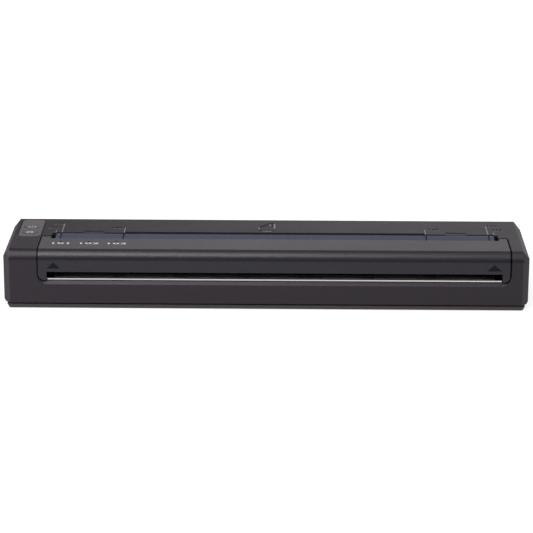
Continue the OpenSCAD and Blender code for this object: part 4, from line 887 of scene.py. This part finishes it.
class PRINTER_OT_finish_electronics(bpy.types.Operator):
    """Give the boards, the inlets and the battery their finishes"""

    bl_idname = "printer.finish_electronics"
    bl_label = "Finish Electronics"

    def execute(self, context):
        look = context.scene.printer_finish
        paint(
            mask_board("green_mask", (0.012, 0.085, 0.035)),
            "main_board", "led_board", "radio_module", "button_board")
        paint(
            moulded("chip_plastic", (0.013, 0.013, 0.014), 0.5, look, grain=0.6),
            "board_parts", "dc_jack", "key_switches")
        paint(pressed_steel("tinned_can", (0.64, 0.64, 0.62), look, 0.3), "shield_can", "usb_port")
        paint(film_cable("film_cable", (0.66, 0.66, 0.62)), "head_cable")
        paint(moulded("battery_sleeve", (0.03, 0.03, 0.033), 0.34, look, grain=0.4), "battery_pack")
        paint(
            pressed_steel("gold_contact", (0.83, 0.62, 0.28), look, 0.2, (2000.0, 2000.0, 30.0)),
            "battery_contacts")
        return {"FINISHED"}


class PRINTER_OT_add_key_signs(bpy.types.Operator):
    """Print the power sign and the feed sign on the two keys"""

    bl_idname = "printer.add_key_signs"
    bl_label = "Add Key Signs"

    def execute(self, context):
        marks = context.scene.printer_marks
        power, feed = bmesh.new(), bmesh.new()
        width, stroke = marks.key_sign, marks.stroke
        at = middle("power_button")
        for outline in (
            ring_arc((at.x, at.y), width / 2, stroke, 115.0, 425.0, 36),
            bar((at.x, at.y + 0.42 * width), (stroke, 0.5 * width)),
        ):
            prism(power, outline, top_of("power_button") - SUNK, top_of("power_button") + marks.ink_height)
        at = middle("feed_button")
        sheet = 0.62 * width
        for outline in (
            bar((at.x - 0.1 * width, at.y + sheet / 2), (0.7 * width, stroke)),
            bar((at.x - 0.45 * width, at.y), (stroke, sheet)),
            bar((at.x + 0.25 * width, at.y + 0.16 * width), (stroke, 0.3 * width)),
            bar((at.x - 0.25 * width, at.y - sheet / 2), (0.4 * width, stroke)),
            [(at.x + 0.05 * width, at.y - 0.1 * width), (at.x + 0.45 * width, at.y - 0.1 * width),
             (at.x + 0.25 * width, at.y - 0.42 * width)],
        ):
            prism(feed, outline, top_of("feed_button") - SUNK, top_of("feed_button") + marks.ink_height)
        green = printed_ink("green_ink", (0.38, 0.47, 0.35))
        white = printed_ink("white_ink", (0.80, 0.80, 0.78))
        add_piece("power_sign", power, "power_key", green)
        add_piece("feed_sign", feed, "feed_key", white)
        return {"FINISHED"}


class PRINTER_OT_add_key_film(bpy.types.Operator):
    """Lay the pale film over the key frame, cut out round both keys"""

    bl_idname = "printer.add_key_film"
    bl_label = "Add Key Film"

    def execute(self, context):
        look, marks = context.scene.printer_finish, context.scene.printer_marks
        low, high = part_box("button_panel")
        curve = bpy.data.curves.new("key_film", "CURVE")
        curve.dimensions, curve.fill_mode = "2D", "BOTH"
        front, rear = low.y - marks.film_front, high.y + marks.film_rear
        outlines = [round_rect(low.x + 0.02 * MM, front, high.x - 0.02 * MM, rear, 3.2 * MM)]
        for key in ("power_button", "feed_button"):
            at = middle(key)
            long, wide = 4.15 * MM, 2.95 * MM
            outlines.append(round_rect(at.x - long, at.y - wide, at.x + long, at.y + wide, wide, 10))
        for outline in outlines:
            spline = curve.splines.new("POLY")
            spline.points.add(len(outline) - 1)
            spline.use_cyclic_u = True
            for point, (x, y) in zip(spline.points, outline):
                point.co = (x, y, 0.0, 1.0)
        curve.extrude = (CASE_HIGH.z + marks.ink_height - high.z) / 2
        build = bmesh.new()
        build.from_mesh(mesh_from_curve(curve, Matrix.Translation((0, 0, high.z + curve.extrude + 0.001 * MM))))
        bmesh.ops.remove_doubles(build, verts=build.verts, dist=WELD)
        film = moulded("key_film", look.keys, 0.42, look, grain=0.5, gloss=0.4, shades=(key_shade,))
        add_piece("key_film", build, "body", film)
        return {"FINISHED"}


class PRINTER_OT_add_light_numbers(bpy.types.Operator):
    """Print a plain number in front of each light"""

    bl_idname = "printer.add_light_numbers"
    bl_label = "Add Light Numbers"

    def execute(self, context):
        marks = context.scene.printer_marks
        low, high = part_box("led_lenses")
        radius = (high.y - low.y) / 2
        first, last = low.x + radius, high.x - radius
        y = low.y - 0.95 * marks.light_digit
        entries = [
            (number, first + share * (last - first), y, CASE_HIGH.z - SUNK, marks.light_digit)
            for number, share in (("101", 0.0), ("102", 0.5), ("103", 1.0))
        ]
        mesh = flat_numbers(entries, marks.ink_height + SUNK, 2.1)
        # The label ink is given a faint glow: painted light.
        add_piece(
            "light_numbers", mesh, "cover",
            printed_ink("label_ink", (0.72, 0.72, 0.72), glow=0.12))
        return {"FINISHED"}


class PRINTER_OT_add_width_marks(bpy.types.Operator):
    """Lay painted highlights in the width marks and set the sheet widths beside them, each with a lighter
    offset copy as a painted glint
    """

    bl_idname = "printer.add_width_marks"
    bl_label = "Add Width Marks"

    def execute(self, context):
        marks = context.scene.printer_marks
        low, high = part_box("paper_guide")
        mid, half = (low.x + high.x) / 2, (high.x - low.x) / 2
        top, front = CASE_HIGH.z, high.y + 1.5 * MM
        ticks = ((half - LONG_IN, 15.6 * MM), (half + SHORT_OUT, 3.7 * MM), (MIDDLE_SHARE * half, 8.4 * MM))
        # Pale strips in the engraved width marks: painted highlights for the grooves' lit sides.
        lines = bmesh.new()
        for side in (-1, 1):
            for out, length in ticks:
                x = mid + side * out - 0.05 * MM
                prism(lines, bar((x, front + length / 2), (0.5 * MM, length)), top - 0.31 * MM, top - 0.02 * MM)
        add_piece(
            "tick_lines", lines, "body",
            printed_ink("tick_ink", (0.34, 0.33, 0.33)))
        size = marks.width_digit
        entries = [
            (number, mid + side * x, front + y, top - SUNK, size)
            for side in (-1, 1)
            for number, x, y in (
                ("210", 108.8 * MM, 14.8 * MM), ("216", 111.0 * MM, 7.4 * MM), ("148", 79.2 * MM, 7.8 * MM))
        ]
        # A lighter copy of each number, set a little off it: a painted glint on the engraved edge.
        glints = [(text, x + 0.2 * MM, y - 0.6 * MM, z, height) for text, x, y, z, height in entries]
        add_piece(
            "number_glints", flat_numbers(glints, 0.5 * marks.ink_height + SUNK, 1.0), "body",
            printed_ink("glint_ink", (0.24, 0.23, 0.24)))
        add_piece(
            "width_numbers", flat_numbers(entries, marks.ink_height + SUNK, 1.0, 0.04), "body",
            printed_ink("dark_ink", (0.010, 0.009, 0.010), gloss=0.0))
        return {"FINISHED"}


class PRINTER_OT_add_sheet_sign(bpy.types.Operator):
    """Draw the page sign on the rear top: painted highlights in its grooves and a dark folded corner"""

    bl_idname = "printer.add_sheet_sign"
    bl_label = "Add Sheet Sign"

    def execute(self, context):
        marks = context.scene.printer_marks
        top = CASE_HIGH.z
        page_right, page_front, fold_x, fold_y = 3.8 * MM, 7.4 * MM, 1.7 * MM, 15.4 * MM
        light, dark = bmesh.new(), bmesh.new()
        # Pale strips in the sign's grooves, and one on the face beside the fold: painted highlights where the
        # engraving's edges catch light.
        for centre, size in (
            ((page_right, 16.2 * MM), (0.72 * MM, 8.6 * MM)),
            ((-page_right, 12.6 * MM), (0.72 * MM, 2.6 * MM)),
            ((0.2 * MM, page_front), (4.6 * MM, 0.7 * MM)),
        ):
            prism(light, bar(centre, size), top - 0.31 * MM, top - 0.02 * MM)
        inner_bar = bar((fold_x - 0.1 * MM, 17.8 * MM), (0.45 * MM, 3.8 * MM))
        prism(light, inner_bar, top - 0.01 * MM, top + marks.ink_height)
        for outline in (
            bar((-0.9 * MM, fold_y), (4.8 * MM, 0.7 * MM)),
            bar((0.1 * MM, page_front + 2.0 * MM), (7.0 * MM, 0.9 * MM)),
            bar((fold_x + 1.0 * MM, 17.4 * MM), (0.5 * MM, 6.0 * MM)),
            [(-4.0 * MM, 13.6 * MM), (-3.4 * MM, 13.4 * MM), (1.6 * MM, 20.6 * MM), (3.6 * MM, 20.6 * MM),
             (3.6 * MM, 21.6 * MM), (0.8 * MM, 21.6 * MM)],
        ):
            prism(dark, outline, top - 0.01 * MM, top + 0.6 * marks.ink_height)
        add_piece("sheet_lines", light, "body",
                  printed_ink("sheet_ink", (0.30, 0.30, 0.29)))
        add_piece("sheet_fold", dark, "body",
                  printed_ink("fold_ink", (0.022, 0.020, 0.022), gloss=0.05))
        return {"FINISHED"}


class PRINTER_OT_add_slot_marks(bpy.types.Operator):
    """Lay dark triangles in the two engraved marks over the exit slot"""

    bl_idname = "printer.add_slot_marks"
    bl_label = "Add Slot Marks"

    def execute(self, context):
        low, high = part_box("exit_guide")
        wide, tall, deep, foot = 6.7 * MM, 3.1 * MM, 0.3 * MM, 20.75 * MM
        slot_left, slot_right = low.x - 0.3 * MM, high.x + 0.3 * MM
        marks = bmesh.new()
        face = Matrix(((1, 0, 0, 0), (0, 0, -1, 0), (0, 1, 0, 0), (0, 0, 0, 1)))
        for x in (slot_left + 3.45 * MM, slot_right - 4.05 * MM):
            outline = [(x - wide / 2, foot), (x + wide / 2, foot), (x, foot + tall)]
            prism(marks, outline, -FRONT_Y - deep - 0.02 * MM, -FRONT_Y - deep + 0.03 * MM, face)
        add_piece("slot_marks", marks, "cover",
                  printed_ink("mark_ink", (0.009, 0.009, 0.010), gloss=0.2))
        return {"FINISHED"}


class PRINTER_OT_add_grip_ridges(bpy.types.Operator):
    """Set the row of ridges in the battery cover's finger groove"""

    bl_idname = "printer.add_grip_ridges"
    bl_label = "Add Grip Ridges"

    def execute(self, context):
        look, count = context.scene.printer_finish, context.scene.printer_fittings.grip_ridges
        first, last, height = -14.0 * MM, 2.0 * MM, 21.6 * MM
        finish = moulded("moulded_ridges", look.case, 0.47, look, gloss=0.42)
        mesh = row_tree().mesh(
            "grip_ridges", Start=(first, CASE_HIGH.y - 0.36 * MM, height),
            Step=((last - first) / (count - 1), 0.0, 0.0), Size=(0.5 * MM, 0.5 * MM, 1.96 * MM),
            Count=count, Finish=finish)
        add_piece("grip_ridges", mesh, "battery_door", finish)
        return {"FINISHED"}


class PRINTER_OT_add_cable_cores(bpy.types.Operator):
    """Lay the copper lines along the flat cable"""

    bl_idname = "printer.add_cable_cores"
    bl_label = "Add Cable Cores"

    def execute(self, context):
        count = context.scene.printer_fittings.cable_cores
        low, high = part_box("head_cable")
        step = (high.x - low.x) / (count + 1)
        curve = bpy.data.curves.new("cable_path", "CURVE")
        curve.dimensions = "3D"
        spline = curve.splines.new("POLY")
        flat = low.z + 0.22 * MM
        rise = [(low.y + 0.15 * MM, flat), (high.y - 0.1 * MM, flat), (high.y, high.z - 0.2 * MM)]
        spline.points.add(len(rise) - 1)
        for point, (y, z) in zip(spline.points, rise):
            point.co = (low.x + step, y, z, 1.0)
        path = add_object("cable_path", curve)
        copper = pressed_steel("bare_copper", (0.7, 0.42, 0.26), context.scene.printer_finish, 0.3)
        mesh = path_tree().mesh(
            "cable_cores", Path=path, Step=step, Width=0.45 * step, Thickness=0.04 * MM, Count=count,
            Finish=copper)
        bpy.data.objects.remove(path)
        add_piece("cable_cores", mesh, "body", copper)
        return {"FINISHED"}


SOFT_BOXES = (  # name, place, aim, size, radiance
    ("front_box", (-0.43, -0.62, 0.76), (-0.43, 0, 0.02), (1.0, 0.40), 7.1),
    ("back_box", (0.55, 1.25, 0.42), (0.55, 0, 0.02), (2.1, 0.75), 0.68),
    ("top_box", (0, 0.05, 1.5), (0, 0, 0.0), (2.4, 1.6), 0.5),
    ("left_box", (-0.75, -0.1, 0.06), (-0.1, 0, 0.02), (0.7, 0.13), 4.6),
    ("right_box", (0.75, -0.1, 0.17), (0.1, 0, 0.02), (0.7, 0.34), 2.3),
)
LAMP_TINT = (1.0, 0.97, 0.995)  # leans a little to magenta, as the photo's studio does


class PRINTER_OT_set_stage(bpy.types.Operator):
    """Set the camera, the soft boxes and the pale floor"""

    bl_idname = "printer.set_stage"
    bl_label = "Set Stage"

    def execute(self, context):
        studio = context.scene.printer_studio
        set_camera(studio)
        for lamp in SOFT_BOXES:
            soft_box(*lamp)
        set_world(level=0.14)
        if studio.show_floor:
            lay_floor(shadowed=0.42, seen=0.6)
        context.scene.view_settings.view_transform = "Standard"
        return {"FINISHED"}


def set_camera(studio):
    """Adds the camera and turns it by yaw, pitch and roll."""
    camera = bpy.data.cameras.new("camera")
    camera.lens = studio.lens
    camera.sensor_width = 36.0
    camera.clip_end = 50.0
    eye = add_object("camera", camera)
    yaw, pitch, roll = studio.yaw, studio.pitch, studio.roll
    ahead = Vector((math.sin(yaw) * math.cos(pitch), math.cos(yaw) * math.cos(pitch), -math.sin(pitch)))
    right = Vector((math.cos(yaw), -math.sin(yaw), 0.0))
    up = right.cross(ahead)
    side = math.cos(roll) * right + math.sin(roll) * up
    rise = math.cos(roll) * up - math.sin(roll) * right
    turn = Matrix((side, rise, -ahead)).transposed().to_4x4()
    eye.matrix_world = Matrix.Translation(studio.eye) @ turn
    bpy.context.scene.camera = eye


def soft_box(name, place, aim, size, radiance):
    """Adds a rectangular lamp of a given brightness, unseen by the camera."""
    lamp = bpy.data.lights.new(name, "AREA")
    lamp.shape = "RECTANGLE"
    lamp.size, lamp.size_y = size
    lamp.energy = radiance * math.pi * size[0] * size[1]
    lamp.color = LAMP_TINT
    box = add_object(name, lamp)
    toward = Vector(aim) - Vector(place)
    box.matrix_world = Matrix.Translation(place) @ toward.to_track_quat("-Z", "Y").to_matrix().to_4x4()
    box.visible_camera = False


def set_world(level):
    """White for the camera and a plain grey for everything else."""
    world = bpy.data.worlds.new("studio")
    world.use_nodes = True
    tree = world.node_tree
    tree.nodes.clear()
    rays = add_node(tree, "ShaderNodeLightPath", {}, {})
    grey = add_node(tree, "ShaderNodeBackground", {}, {"Strength": level})
    white = add_node(tree, "ShaderNodeBackground", {}, {"Color": (1.0, 1.0, 1.0, 1.0)})
    mix = add_node(tree, "ShaderNodeMixShader", {}, {
        0: rays.outputs["Is Camera Ray"], 1: grey.outputs[0], 2: white.outputs[0]})
    add_node(tree, "ShaderNodeOutputWorld", {}, {0: mix.outputs[0]})
    bpy.context.scene.world = world


def lay_floor(shadowed, seen):
    """Adds the floor: white to the camera but for the printer's shadow, plain grey in reflections."""
    build = bmesh.new()
    bmesh.ops.create_grid(build, x_segments=1, y_segments=1, size=6.0)
    floor = add_object("floor", mesh_of("floor", build))
    g = Graph("pale_floor")
    rays = {key: g.node("ShaderNodeLightPath", {}, {}, key) for key in ("Is Camera Ray", "Is Glossy Ray")}
    own = rays["Is Camera Ray"] * (1.0 - shadowed * 0.5) + rays["Is Glossy Ray"] * (seen - shadowed * 0.5)
    paper = g.noise(300.0, 3.0)
    shader = g.node("ShaderNodeBsdfPrincipled", {}, {
        "Base Color": g.between(paper, (shadowed, shadowed, shadowed, 1), (shadowed * 1.02,) * 3 + (1,)),
        "Roughness": 0.9, "Specular IOR Level": 0.0,
        "Emission Color": (1, 1, 1, 1), "Emission Strength": own,
    })
    g.node("ShaderNodeOutputMaterial", {}, {"Surface": shader})
    floor.data.materials.append(g.material)


# ---- Panel and start -------------------------------------------------------------------------

STEPS = (
    PRINTER_OT_finish_case,
    PRINTER_OT_finish_cover,
    PRINTER_OT_finish_mechanism,
    PRINTER_OT_finish_electronics,
    PRINTER_OT_add_key_signs,
    PRINTER_OT_add_light_numbers,
    PRINTER_OT_add_width_marks,
    PRINTER_OT_add_sheet_sign,
    PRINTER_OT_add_slot_marks,
    PRINTER_OT_add_key_film,
    PRINTER_OT_add_grip_ridges,
    PRINTER_OT_add_cable_cores,
    PRINTER_OT_set_stage,
)
SETTINGS = {
    "printer_finish": PrinterFinish,
    "printer_marks": PrinterMarks,
    "printer_fittings": PrinterFittings,
    "printer_studio": PrinterStudio,
}


class PRINTER_PT_sidebar(bpy.types.Panel):
    """The printer's settings and the steps that build its look"""

    bl_idname = "PRINTER_PT_sidebar"
    bl_label = "Portable Printer"
    bl_space_type = "VIEW_3D"
    bl_region_type = "UI"
    bl_category = "Printer"

    def draw(self, context):
        for name, group in SETTINGS.items():
            box = self.layout.box()
            box.label(text=group.__doc__)
            for key in group.__annotations__:
                box.prop(getattr(context.scene, name), key)
        for step in STEPS:
            self.layout.operator(step.bl_idname)


def register():
    for group in SETTINGS.values():
        bpy.utils.register_class(group)
    for name, group in SETTINGS.items():
        setattr(bpy.types.Scene, name, PointerProperty(type=group))
    for step in (*STEPS, PRINTER_PT_sidebar):
        bpy.utils.register_class(step)


def unregister():
    for step in (PRINTER_PT_sidebar, *reversed(STEPS)):
        bpy.utils.unregister_class(step)
    for name, group in SETTINGS.items():
        delattr(bpy.types.Scene, name)
        bpy.utils.unregister_class(group)


def main():
    """Builds everything in order."""
    register()
    for step in STEPS:
        area, name = step.bl_idname.split(".")
        getattr(getattr(bpy.ops, area), name)()


if __name__ == "__main__":
    main()
